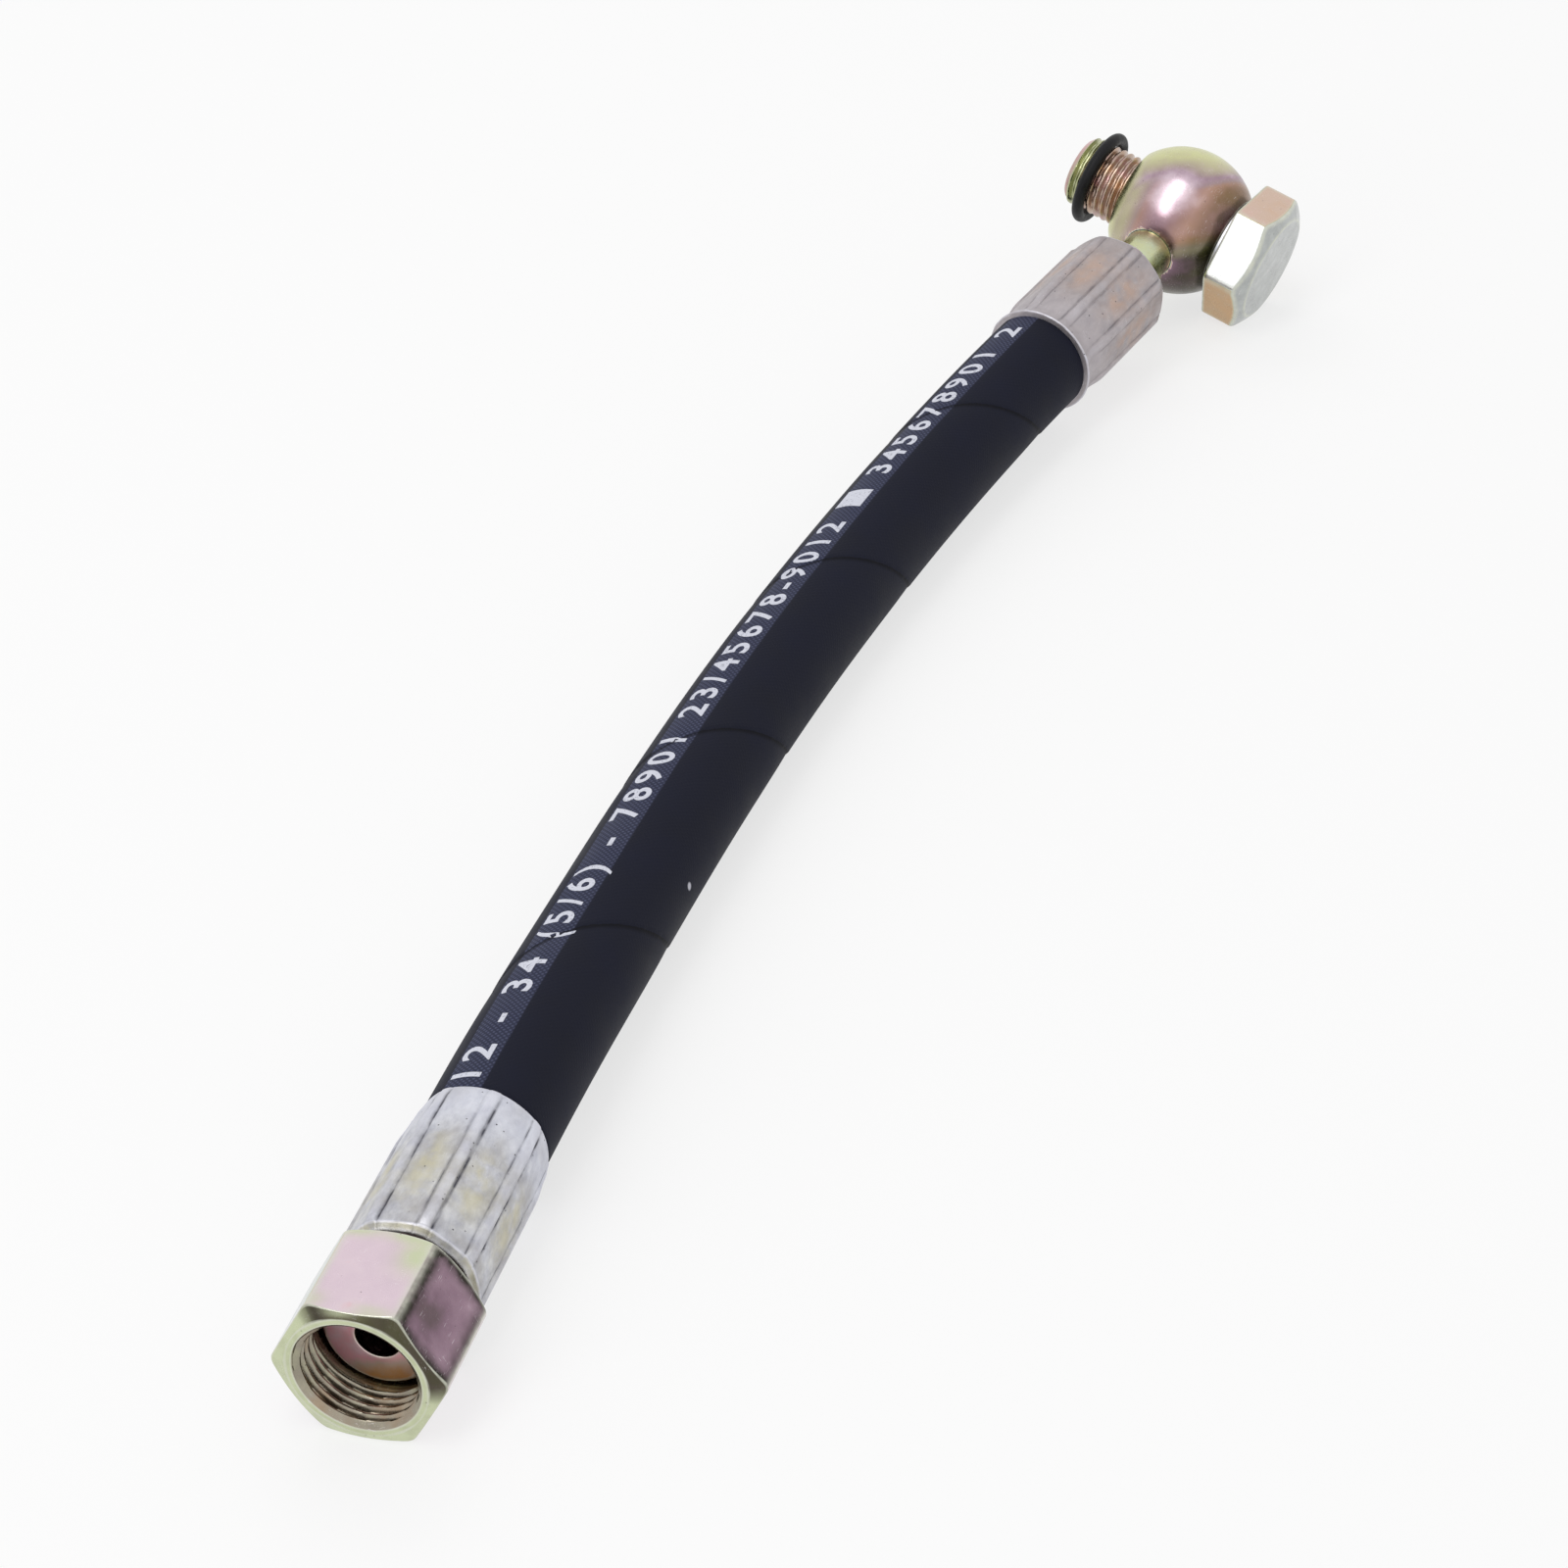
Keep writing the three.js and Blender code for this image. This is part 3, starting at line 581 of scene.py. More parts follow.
def eased(corners, count):
    """Rounds a profile's corners. A corner is its place along, its radius and its softness in
    millimetres, each one number or one for every angle round the axis."""
    corners = [[np.broadcast_to(np.asarray(v, float), count) for v in c] for c in corners]
    middle = [np.stack(c[:2]) for c in corners]
    rows = []
    edges = []
    for k, (_, _, soft) in enumerate(corners):
        at = middle[k]
        if soft.max() == 0:
            rows.append(at)
            edges.append(0.0)
            continue
        back = middle[k - 1] - at
        on = middle[(k + 1) % len(middle)] - at
        room = np.minimum(np.linalg.norm(back, axis=0), np.linalg.norm(on, axis=0)) * 0.45
        back = back / np.linalg.norm(back, axis=0)
        on = on / np.linalg.norm(on, axis=0)
        cut = np.minimum(soft, room)
        guard = np.minimum(cut + 0.35, room + 0.02)
        rows.append(at + back * guard)
        edges.append(0.0)
        for t in (0, 0.25, 0.5, 0.75, 1):
            rows.append(at + back * cut * (1 - t) ** 2 + on * cut * t**2)
            edges.append(1.0 - abs(t - 0.5))
        rows.append(at + on * guard)
        edges.append(0.0)
    return np.stack(rows), np.array(edges)


def new_piece(name, points, faces):
    mesh = bpy.data.meshes.new(name)
    mesh.from_pydata([tuple(p) for p in points], [], faces)
    piece = bpy.data.objects.new(name, mesh)
    bpy.context.scene.collection.objects.link(piece)
    return piece


def turned_piece(name, place, angles, rows, marks, sharp=35, ring=True):
    """A skin through rows of (along, radius) at each angle round +X, in millimetres. With ring,
    the last row joins the first; else both end on the axis. Marks are values for its finish."""
    count = len(angles)
    along, radius = rows[:, 0], rows[:, 1]
    own = np.stack([along, radius * np.cos(angles), radius * np.sin(angles)], axis=-1)
    own = own.reshape(-1, 3)
    points = own * MM @ np.array(place.to_3x3()).T + np.array(place.translation)
    faces = []
    for j in range(len(rows) if ring else len(rows) - 1):
        this, after = j * count, (j + 1) % len(rows) * count
        for k in range(count):
            on = (k + 1) % count
            faces.append((this + k, this + on, after + on, after + k))
    piece = new_piece(name, points, faces)
    for mark, values in marks.items():
        values = np.asarray(values, float)
        values = values[:, None] if values.ndim == 1 else values
        layer = piece.data.attributes.new(mark, "FLOAT", "POINT")
        layer.data.foreach_set("value", np.broadcast_to(values, (len(rows), count)).ravel())
    close_and_smooth(piece, sharp)
    return piece


def all_over(rows, value):
    """A mark that is the same on the whole piece."""
    return np.full(len(rows), value)


def keep_own_place(piece, place):
    """Notes where each point is in millimetres along and across the piece's own axis."""
    back = place.inverted()
    layer = piece.data.attributes.new("own", "FLOAT_VECTOR", "POINT")
    own = [back @ v.co / MM for v in piece.data.vertices]
    layer.data.foreach_set("vector", np.array(own, np.float32).ravel())


def even_angles(count):
    return np.linspace(0, 2 * np.pi, count, endpoint=False)


dies = 8
sector = 2 * math.pi / dies
ferrule_length = 30.8
ferrule_bore = 9.2
ferrule_hole = 6.1
end_wall = 2
ferrule_flat = 10.0
ridge_top = 10.7
ridge_half = math.radians(3.6)
groove_depth = 0.14
waist_length = 8
lip_length = 2.4


def ferrule(name, place, crimp_turn, waist, brim, kept, warm):
    """Rows run from the closed end's hole, over the outside, to the hose end and the bore. Kept is
    how much of the ridges goes on over the waist, and warm is how much the plating has browned."""
    side = np.array([0.5, 0.9, 1.15, 1.35, 1.55, 1.75, 1.95, 2.3, 3.0])
    spread = np.concatenate([-side[::-1], [0], side])
    flat_start = -sector / 2 + 3.8 * ridge_half
    flat = np.linspace(flat_start, -flat_start, 6) + sector / 2
    one = np.concatenate([spread * ridge_half, flat])
    angles = np.concatenate([one + crimp_turn + k * sector for k in range(dies)])
    off = np.mod(angles - crimp_turn + sector / 2, sector) - sector / 2
    from_ridge = np.abs(off) / ridge_half
    flats = ferrule_flat / np.cos(sector / 2 - np.abs(off)) ** 0.6
    up_ridge = np.clip((1.45 - from_ridge) / 0.5, 0, 1)
    ridge = ridge_top - 0.06 * from_ridge
    groove_dip = groove_depth * np.exp(-(((from_ridge - 1.7) / 0.3) ** 2))
    crimped = flats - groove_dip + (ridge - flats) * up_ridge**2 * (3 - 2 * up_ridge)
    body = []
    for x in np.linspace(2.0, ferrule_length - waist_length, 26):
        breath = 0.05 * math.sin(x * 0.9) + 0.04 * math.sin(x * 2.3 + 1)
        body.append((x, crimped + breath * (1 - up_ridge) * 0.5, 0))
    round_end = np.minimum(crimped, ferrule_flat + 0.25)
    corners = [
        (0, ferrule_hole, 0.2),
        (0, round_end - 0.9, 0.25),
        (0.9, round_end, 0.5),
        (1.4, crimped * 0.4 + round_end * 0.6, 0),
        *body,
    ]
    lip_start = ferrule_length - lip_length
    waist = waist + kept * (crimped - ferrule_flat)
    brim = brim + kept * 0.8 * (crimped - ferrule_flat)
    for t in np.linspace(0.15, 1, 8):
        ease = t * t * (3 - 2 * t)
        x = ferrule_length - waist_length + (waist_length - lip_length) * t
        corners.append((x, crimped + (waist - crimped) * ease, 0))
    corners += [
        (lip_start + 0.6 * lip_length, waist + 0.75 * (brim - waist), 0),
        (ferrule_length - 0.25, brim, 0.3),
        (ferrule_length, ferrule_bore + 0.1, 0.15),
        (ferrule_length - 1, ferrule_bore, 0),
        (end_wall, ferrule_bore, 0.2),
        (end_wall, ferrule_hole, 0.2),
    ]
    rows, edges = eased(corners, len(angles))
    x, r = rows[:, 0], rows[:, 1]
    on_body = (x > 1.2) & (x < ferrule_length - 0.5) & (r > ferrule_bore + 0.25)
    on_rim = (x < 1.0) & (r > 9.0)
    on_end = (x < 0.05) & (r > ferrule_hole + 0.1)
    ridge = on_body * np.clip(1 - from_ridge / 1.3, 0, 1) ** 0.5
    # Painted shade: a dark line in the groove beside each ridge, wider on its shaded side, a
    # darker rim, and a dark closed end that faces the nut.
    shaded_side = off > 0
    line_width = np.where(shaded_side, 0.35, 0.22)
    line = np.exp(-(((from_ridge - 1.75) / line_width) ** 2))
    dark = on_body * np.where(shaded_side, 1.0, 0.8) * (1 - 0.5 * warm) * line
    dark = np.where(on_rim, 0.35, dark)
    dark = np.where(on_end, 0.85, dark)
    # Yellow where the plating is rubbed through, mostly in the middle of each flat. On the rim by
    # the nut the same yellow, with the darker rim above, is a painted olive reflection of the nut.
    middle = np.exp(-(((np.abs(off) - sector / 2) / 0.16) ** 2))
    worn_and_reflected = middle * np.exp(-(((x - 13) / 6) ** 2)) + 0.4 * np.exp(-(((x - 11) / 8) ** 2))
    worn_and_reflected = np.where(on_body, np.minimum(worn_and_reflected, 1), on_rim)
    # The ridge tops get a bright line, partly worn plating and partly a painted highlight.
    edge = np.maximum(edges[:, None], ridge * (0.6 - 0.4 * warm))
    marks = {"edge": edge, "groove_shade": dark, "rubbed_and_reflected": worn_and_reflected, "warm": all_over(rows, warm)}
    piece = turned_piece(name, place, angles, rows, marks, sharp=60)
    keep_own_place(piece, place)
    return piece


near_ferrule = ferrule(
    "near_sleeve",
    near_place,
    crimp_turn=math.radians(17),
    waist=9.95,
    brim=9.65,
    kept=0.4,
    warm=0.0,
)
far_ferrule = ferrule(
    "far_sleeve",
    far_place,
    crimp_turn=math.radians(-13.5),
    waist=9.85,
    brim=10.55,
    kept=0.1,
    warm=1.0,
)


def mark(tree, name):
    return add(tree, "ShaderNodeAttribute", attribute_name=name).outputs


# Handling leaves fine scratches and small pits on every plated surface. The bright lines along the
# rounded edges are partly worn plating and partly a painted highlight.
handled, asked, given = new_group(
    "ShaderNodeTree",
    "handled_metal",
    [("Scratches", "Float", 1.0), ("Pits", "Float", 1.0)],
    [("Scratch", "Float"), ("Pit", "Float"), ("Cloud", "Float"), ("Worn edge and glint", "Float")],
)
tree = handled
own = mark(tree, "own")["Vector"]
tree.links.new(noise(tree, own, 0.35, 4.0), given["Cloud"])
lengthwise = noise(tree, own, 2.2, 2.0, stretch=(0.25, 5, 5))
crosswise = noise(tree, own, 2.0, 2.0, stretch=(5, 0.3, 0.3), shift=(7, 3, 1))
lines = larger(tree, reach(tree, lengthwise, 0.66, 0.72), reach(tree, crosswise, 0.68, 0.74))
here = reach(tree, noise(tree, own, 0.5, 2.0, shift=(3, 9, 4)), 0.45, 0.6)
tree.links.new(times(tree, times(tree, lines, here), asked["Scratches"]), given["Scratch"])
dots = add(tree, "ShaderNodeTexVoronoi", {"Vector": own, "Scale": 0.85}).outputs
few = reach(tree, dots["Color"], 0.72, 0.75)
pits = times(tree, reach(tree, dots["Distance"], 0.13, 0.08), few)
tree.links.new(times(tree, pits, asked["Pits"]), given["Pit"])
rubbed_and_reflected = reach(tree, noise(tree, own, 0.5, 2.0), 0.3, 0.6, 0.45, 1.0)
tree.links.new(times(tree, mark(tree, "edge")["Fac"], rubbed_and_reflected), given["Worn edge and glint"])


def handled_nodes(tree, scratches, pits):
    inputs = {"Scratches": scratches, "Pits": pits}
    return add(tree, "ShaderNodeGroup", inputs, node_tree=handled).outputs


zinc, tree, shader = new_material("zinc_steel", Metallic=1.0)
own = mark(tree, "own")["Vector"]
touch = handled_nodes(tree, 1.0, 1.0)
mottle = noise(tree, own, 0.55, 6.0, stretch=(0.7, 1, 1), roughness=0.6)
colour = mix(tree, reach(tree, mottle, 0.3, 0.7), linear(172, 173, 183), linear(214, 215, 221))
streak = noise(tree, own, 0.9, 5.0, stretch=(0.35, 1, 1), shift=(4, 4, 4), roughness=0.65)
colour = mix(tree, reach(tree, streak, 0.5, 0.78, 0.0, 0.35), colour, linear(136, 138, 151))
smudge = reach(tree, noise(tree, own, 0.17, 4.0, shift=(8, 2, 5)), 0.48, 0.66, 0.0, 0.55)
colour = mix(tree, smudge, colour, linear(156, 152, 152))
from_end = add(tree, "ShaderNodeSeparateXYZ", {0: own}).outputs["X"]
colour = mix(tree, reach(tree, from_end, 19, 26, 0.0, 0.45), colour, linear(224, 226, 238))
warm = mark(tree, "warm")["Fac"]
colour = mix(tree, times(tree, warm, 0.55), colour, linear(190, 190, 197))
colour = mix(tree, warm, colour, mix(tree, 1.0, colour, linear(228, 219, 214), "MULTIPLY"))
# Yellow where the plating is rubbed through; on the rim by the nut it is a painted reflection of
# the nut.
rubbed_through_and_reflected = mix(tree, warm, linear(200, 194, 164), linear(190, 162, 145))
yellow = times(tree, mark(tree, "rubbed_and_reflected")["Fac"], reach(tree, touch["Cloud"], 0.3, 0.6))
colour = mix(tree, times(tree, yellow, 0.7), colour, rubbed_through_and_reflected)
# Painted shade: the dark lines beside the ridges, the darker rim and the dark closed end.
patchy = reach(tree, noise(tree, own, 0.3, 2.0, shift=(1, 6, 2)), 0.4, 0.6, 0.2, 1.0)
colour = mix(tree, times(tree, mark(tree, "groove_shade")["Fac"], patchy), colour, linear(58, 58, 68))
colour = mix(tree, times(tree, touch["Worn edge and glint"], 0.7), colour, linear(224, 224, 234))
colour = mix(tree, touch["Pit"], colour, linear(70, 68, 72))
colour = mix(tree, times(tree, touch["Scratch"], 0.5), colour, linear(235, 235, 240))
tree.links.new(colour, shader.inputs["Base Color"])
rough = reach(tree, mottle, 0.3, 0.7, 0.52, 0.36)
tree.links.new(rough, shader.inputs["Roughness"])
fine = noise(tree, own, 3.0, 5.0, roughness=0.7)
height = plus(tree, minus(tree, fine, touch["Pit"]), times(tree, mottle, 1.2))
emboss(tree, shader, height, 0.12 * MM, 0.5)
for piece, node in ((near_ferrule, "near_ferrule"), (far_ferrule, "far_ferrule")):
    piece.data.materials.append(zinc)
    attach(piece, "hose")
    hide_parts(node)

# ---- Flat-seat nipple ----
# Turned steel, zinc-plated and yellow-chromated. Its barbed tail sits in the hose, and its flat
# head seals against the adapter inside the nut.

nipple_bore = 3
tail_radius = 4.3
barb_top = 4.65
barb_pitch = 5.25
collar_radius = 6.8
collar_end = 3.4
in_end_wall = 6
barbs = 4
barb_length = 4
first_barb = 4.4
tail_end = 25.9


def hose_tail():
    """The tail's outside: a collar on each side of the ferrule's end wall, then the barbs."""
    corners = [
        (-0.1, collar_radius, 0.15),
        (-0.1, in_end_wall, 0),
        (end_wall + 0.1, in_end_wall, 0),
        (end_wall + 0.1, collar_radius, 0.15),
        (collar_end, collar_radius, 0.15),
        (collar_end, tail_radius, 0),
    ]
    for k in range(barbs):
        start = first_barb + k * barb_pitch
        corners += [
            (start, tail_radius, 0),
            (start + 0.3, barb_top, 0.1),
            (start + barb_length, tail_radius, 0),
        ]
    return corners + [(tail_end, tail_radius, 0.2), (tail_end, nipple_bore, 0.2)]


seat_face = -11.2
head_back = seat_face + 3.4
head_radius = 7.95
seat_hole = 3.2
hole_end = seat_face + 7
angles = even_angles(96)
corners = [
    (hole_end, nipple_bore, 0),
    (hole_end, seat_hole, 0.1),
    (seat_face, seat_hole, 0.2),
    (seat_face, head_radius - 0.6, 0.15),
    (seat_face + 0.6, head_radius, 0.2),
    (head_back, head_radius, 0.2),
    (head_back + 1.15, collar_radius, 0.1),
    *hose_tail(),
]
rows, edges = eased(corners, len(angles))
x, r = rows[:, 0], rows[:, 1]
# A painted reflection: the lower part of the seat face mirrors the thread and is painted amber.
# The bore is painted dark, painted shade.
thread_reflection = np.clip(-np.sin(angles + 0.15) * 2.6 - 1.5, 0, 1) * (r > 4.6)
on_seat = (r > seat_hole + 0.1) & (x < seat_face + 0.7)
marks = {
    "edge": edges,
    "film_and_painted_light": 0.5 - 0.15 * thread_reflection,
    "shade_and_dark_reflection": (r < seat_hole + 0.05) * 1.0,
    "satin": on_seat * 0.45,
}
near_nipple = turned_piece("near_nipple_turned", near_place, angles, rows, marks)
keep_own_place(near_nipple, near_place)

# The chromate is a clear film over the zinc. Its thickness sets the colour, from pale green over
# gold and pink to violet and brown. The film mark gives that thickness, and is also set place by
# place to paint highlights, reflections and shade into the colour. The mark "thin" says where the
# thickness "under" shows instead, which also paints glints.
chromate, tree, shader = new_material("chromated_steel", Metallic=1.0)
own = mark(tree, "own")["Vector"]
touch = handled_nodes(tree, 0.8, 0.6)
drift = noise(tree, own, 0.13, 2.0)
patch = noise(tree, own, 0.45, 3.0, shift=(2, 5, 8))
film_and_painted_light = plus(tree, mark(tree, "film_and_painted_light")["Fac"], reach(tree, drift, 0.3, 0.7, -0.04, 0.04))
film_and_painted_light = plus(tree, film_and_painted_light, reach(tree, patch, 0.3, 0.7, -0.02, 0.02))
film_colours = [
    (0.0, (240, 242, 241)),
    (0.05, (210, 213, 213)),
    (0.1, (204, 209, 205)),
    (0.15, (200, 208, 178)),
    (0.2, (204, 205, 152)),
    (0.29, (182, 166, 141)),
    (0.36, (208, 156, 98)),
    (0.44, (206, 184, 170)),
    (0.5, (232, 173, 184)),
    (0.56, (222, 203, 212)),
    (0.64, (214, 194, 206)),
    (0.74, (160, 134, 148)),
    (0.82, (138, 112, 127)),
    (0.91, (100, 88, 86)),
    (1.0, (108, 108, 76)),
]


def film_colour(tree, film_and_painted_light):
    bands = add(tree, "ShaderNodeValToRGB", {0: film_and_painted_light})
    ramp = bands.color_ramp
    while len(ramp.elements) < len(film_colours):
        ramp.elements.new(0.5)
    for element, (at, shade) in zip(ramp.elements, film_colours):
        element.position = at
        element.color = linear(*shade)
    return bands.outputs[0]


thin_film_and_glint = times(tree, mark(tree, "thin")["Fac"], reach(tree, patch, 0.3, 0.55, 0.85, 1.0))
under = film_colour(tree, mark(tree, "under")["Fac"])
colour = mix(tree, thin_film_and_glint, film_colour(tree, film_and_painted_light), under)
# Painted shade and dark reflections: this darkens bores, recesses and faces turned from the light.
shade_and_dark_reflection = times(tree, mark(tree, "shade_and_dark_reflection")["Fac"], reach(tree, patch, 0.3, 0.6, 0.55, 0.85))
colour = mix(tree, shade_and_dark_reflection, colour, linear(50, 46, 40))
colour = mix(tree, times(tree, touch["Worn edge and glint"], 0.85), colour, linear(212, 214, 198))
colour = mix(tree, times(tree, touch["Pit"], 0.8), colour, linear(60, 52, 50))
colour = mix(tree, times(tree, touch["Scratch"], 0.6), colour, linear(238, 232, 236))
tree.links.new(colour, shader.inputs["Base Color"])
satin = mark(tree, "satin")["Fac"]
rough = reach(tree, touch["Cloud"], 0.3, 0.7, 0.18, 0.3)
rough = plus(tree, rough, times(tree, touch["Scratch"], 0.15))
rough = plus(tree, rough, times(tree, satin, 0.25))
tree.links.new(rough, shader.inputs["Roughness"])
tree.links.new(minus(tree, 1.0, times(tree, satin, 0.7)), shader.inputs["Metallic"])
fine = noise(tree, own, 2.5, 4.0)
height = minus(tree, times(tree, fine, 0.25), touch["Pit"])
height = minus(tree, height, times(tree, touch["Scratch"], 0.3))
emboss(tree, shader, height, 0.08 * MM, 0.35)
near_nipple.data.materials.append(chromate)
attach(near_nipple, "hose")
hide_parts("near_nipple")

# ---- Swivel nut ----
# A hexagonal steel nut, yellow-chromated, that turns freely on the nipple's head. Its mouth has a
# fine thread, and both ends are chamfered.

nut_back = -1.6
nut_length = 17.4
nut_mouth = nut_back - nut_length
nut_flat = 11
nut_round = 1.8
nut_face = 9.9
mouth_ring = 10
mouth_opening = 9.2
nut_inside = 8.7
nut_back_hole = 7.1
thread_root = 9.0
thread_pitch = 1.5
thread_depth = 0.81
thread_step = 0.115


def hex_angles(corner_round, flat):
    """Angles round a hexagon with a flat on top, close together at its rounded corners."""
    turn = math.atan((flat - corner_round) * math.tan(math.pi / 6) / flat)
    blend = math.pi / 6 - turn
    near = np.array([-1, -0.6, -0.3, 0, 0.3, 0.6, 1]) * blend
    guard = blend + math.radians(1.6)
    rest = np.linspace(guard, math.pi / 3 - guard, 13)
    one = np.concatenate([near, rest])
    return np.concatenate([one + k * math.pi / 3 for k in range(6)])


def hex_radius(angles, corner_round, flat):
    """How far the hexagon reaches at each angle, and how close each angle is to a corner."""
    off = np.mod(angles + math.pi / 6, math.pi / 3) - math.pi / 6
    turn = math.atan((flat - corner_round) * math.tan(math.pi / 6) / flat)
    blend = math.pi / 6 - turn
    centre = (flat - corner_round) / math.cos(math.pi / 6)
    inside = np.clip(corner_round**2 - (centre * np.sin(off)) ** 2, 0, None)
    rounded = centre * np.cos(off) + np.sqrt(inside)
    plain = flat / np.cos(math.pi / 6 - np.abs(off))
    at_corner = np.clip(1.25 - np.abs(off) / (blend * 1.15), 0, 1)
    return np.where(np.abs(off) < blend, rounded, plain), at_corner


def thread_height(along, angles, pitch):
    """0 at a thread's root and 1 at its crest, for a right-hand thread."""
    phase = np.mod(along / pitch - angles / (2 * np.pi), 1)
    return np.clip((np.abs(2 * phase - 1) - 0.15) / 0.65, 0, 1)


angles = hex_angles(nut_round, nut_flat)
reach_out, at_corner = hex_radius(angles, nut_round, nut_flat)
back_slope = math.tan(math.pi / 6)
front_slope = math.tan(math.radians(22))
thread_end = seat_face - 0.3
shoulder = head_back + 0.3
thread = []
for x in np.arange(nut_mouth + 0.25, thread_end - 0.2, thread_step):
    inside = thread_root - thread_depth * thread_height(x, angles, thread_pitch)
    run_out = np.clip((x - thread_end + 1.1) / 0.8, 0, 1)
    inside = inside + (8.85 - inside) * run_out
    thread.append((x, np.maximum(inside, mouth_opening - (x - nut_mouth) * 1.5), 0))
mouth_chamfer = []
for share, soft in ((1, 0.3), (0.75, 0), (0.5, 0), (0.25, 0), (0, 0.25)):
    out = share * (reach_out - mouth_ring)
    mouth_chamfer.append((nut_mouth + out * front_slope, mouth_ring + out, soft))
corners = [
    (nut_mouth, mouth_opening, 0.12),
    *thread,
    (thread_end, nut_inside, 0),
    (shoulder - 0.75, nut_inside, 0.1),
    (shoulder + 0.85, nut_back_hole, 0.1),
    (nut_back, nut_back_hole, 0.15),
    (nut_back, nut_face, 0.15),
    (nut_back - (reach_out - nut_face) * back_slope, reach_out, 0.22),
    *[(x, reach_out, 0) for x in np.linspace(nut_back - 2.6, nut_mouth + 2.1, 24)],
    *mouth_chamfer,
]
rows, edges = eased(corners[::-1], len(angles))
x, r = rows[:, 0], rows[:, 1]
on_flat = r > reach_out - 0.02
on_back = (x > nut_back - 2) & ~on_flat
on_mouth = (r < mouth_ring + 0.02) & (x < nut_mouth + 0.06)
on_chamfer = ~on_flat & (x < nut_mouth + 2) & (r > mouth_ring + 0.02)
inside = (r < 9.3) & (x > nut_mouth + 0.06) & (x < nut_back - 0.1)


def flat_of(angles):
    """Which of a hexagon's six flats an angle is on, and how far over it, from 0 to 1."""
    number = np.floor(np.mod(angles, 2 * np.pi) / (math.pi / 3)).astype(int) % 6
    return number, np.mod(angles, math.pi / 3) / (math.pi / 3)


def blot(a, a_wide, b=0.0, b_wide=1.0):
    """A soft spot: 1 where both are 0, fading over their widths."""
    return np.exp(-((a / a_wide) ** 2) - (b / b_wide) ** 2)


flat_number, over = flat_of(angles)
on_top = flat_number == 1
on_right = flat_number == 2
from_back = nut_back - x
from_mouth = x - nut_mouth

# Green spots on the top flat, and on the one to its right a darker purple cloud and a border of
# painted shade along its edges, by how far they are over a flat and from the nut's ends.
green = blot(from_back - 1.0, 1.3) * (0.75 + 0.35 * np.sin(9 * over + 1))
green += 1.1 * blot(from_back - 4.5, 3.2, over - 0.92, 0.2)
green += 0.9 * blot(from_mouth - 1.2, 1.1, over - 0.72, 0.22)
green += 0.6 * blot(from_mouth - 2.0, 1.6, over - 0.05, 0.12)
purple = blot(from_mouth - 6, 5, over - 0.35, 0.25)
border_shade = np.maximum(blot(from_mouth - 0.9, 1.1), blot(from_back - 0.9, 1.5))
border_shade = np.maximum(border_shade, 0.95 * blot(over - 0.07, 0.09))
border_shade = np.maximum(border_shade, 0.6 * blot(over - 0.94, 0.1))

# The mouth's chamfer is painted dark on its upper right, darkest at both ends of the top flat, a
# painted reflection, with one painted glint on top.
shaded = np.clip((np.cos(angles - math.radians(122)) - 0.3) / 0.25, 0, 1)
chamfer_dark_reflection = 0.9 * blot(over - 0.04, 0.14) + 0.5 * blot(over - 0.88, 0.22)
chamfer_dark_reflection = shaded * np.where(on_top, 0.15 + 1.3 * chamfer_dark_reflection, 0.65)
up_chamfer = (r - mouth_ring) / (reach_out - mouth_ring)
glint = blot(over - 0.36, 0.2, up_chamfer - 0.7, 0.3)

# Each flat has its own colour, partly the chromate's and partly painted light and shade, so the
# flats are lighter or darker by how they face the lamps.
film_light_and_shade_on_flats = np.array([0.08, 0.59, 0.77, 0.62, 0.3, 0.7])
film_and_painted_light = np.where(on_flat, film_light_and_shade_on_flats[flat_number] + 0.08 * on_right * purple, 0.97)
film_and_painted_light = np.where(inside, 0.29, film_and_painted_light)
thin = np.where(on_flat, on_top * np.clip(green, 0, 1), 1 - shaded)
thin = np.where(on_back, 0.0, thin)
thin = np.where(on_mouth, 1.0, thin)
thin = np.where(inside, 0.3, thin)
thin = np.where(on_chamfer & on_top, np.maximum(thin, 0.8 * glint), thin)
under = np.where(inside, 0.1, 0.16)
shade_and_dark_reflection = on_flat * on_right * np.maximum(1.4 * border_shade, 0.3 * purple)
shade_and_dark_reflection = np.where(on_chamfer, chamfer_dark_reflection, shade_and_dark_reflection)
# The thread inside the mouth is painted darker: painted shade.
shade_and_dark_reflection = np.where(inside, 0.5, shade_and_dark_reflection)
# The hex corners get a bright line, partly worn plating and partly a painted highlight.
edge = np.maximum(edges[:, None], on_flat * at_corner**2 * 0.75)
marks = {"edge": edge, "film_and_painted_light": film_and_painted_light, "thin": thin, "under": under, "shade_and_dark_reflection": shade_and_dark_reflection}
nut = turned_piece("nut_hex", near_place, angles, rows, marks)
keep_own_place(nut, near_place)
nut.data.materials.append(chromate)
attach(nut, "nut")
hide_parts("swivel_nut")

# ---- Banjo eye ----
# A steel ball with two flats, drilled for the bolt, with an oil groove inside. The far nipple's
# neck is brazed into it. Both are yellow-chromated.

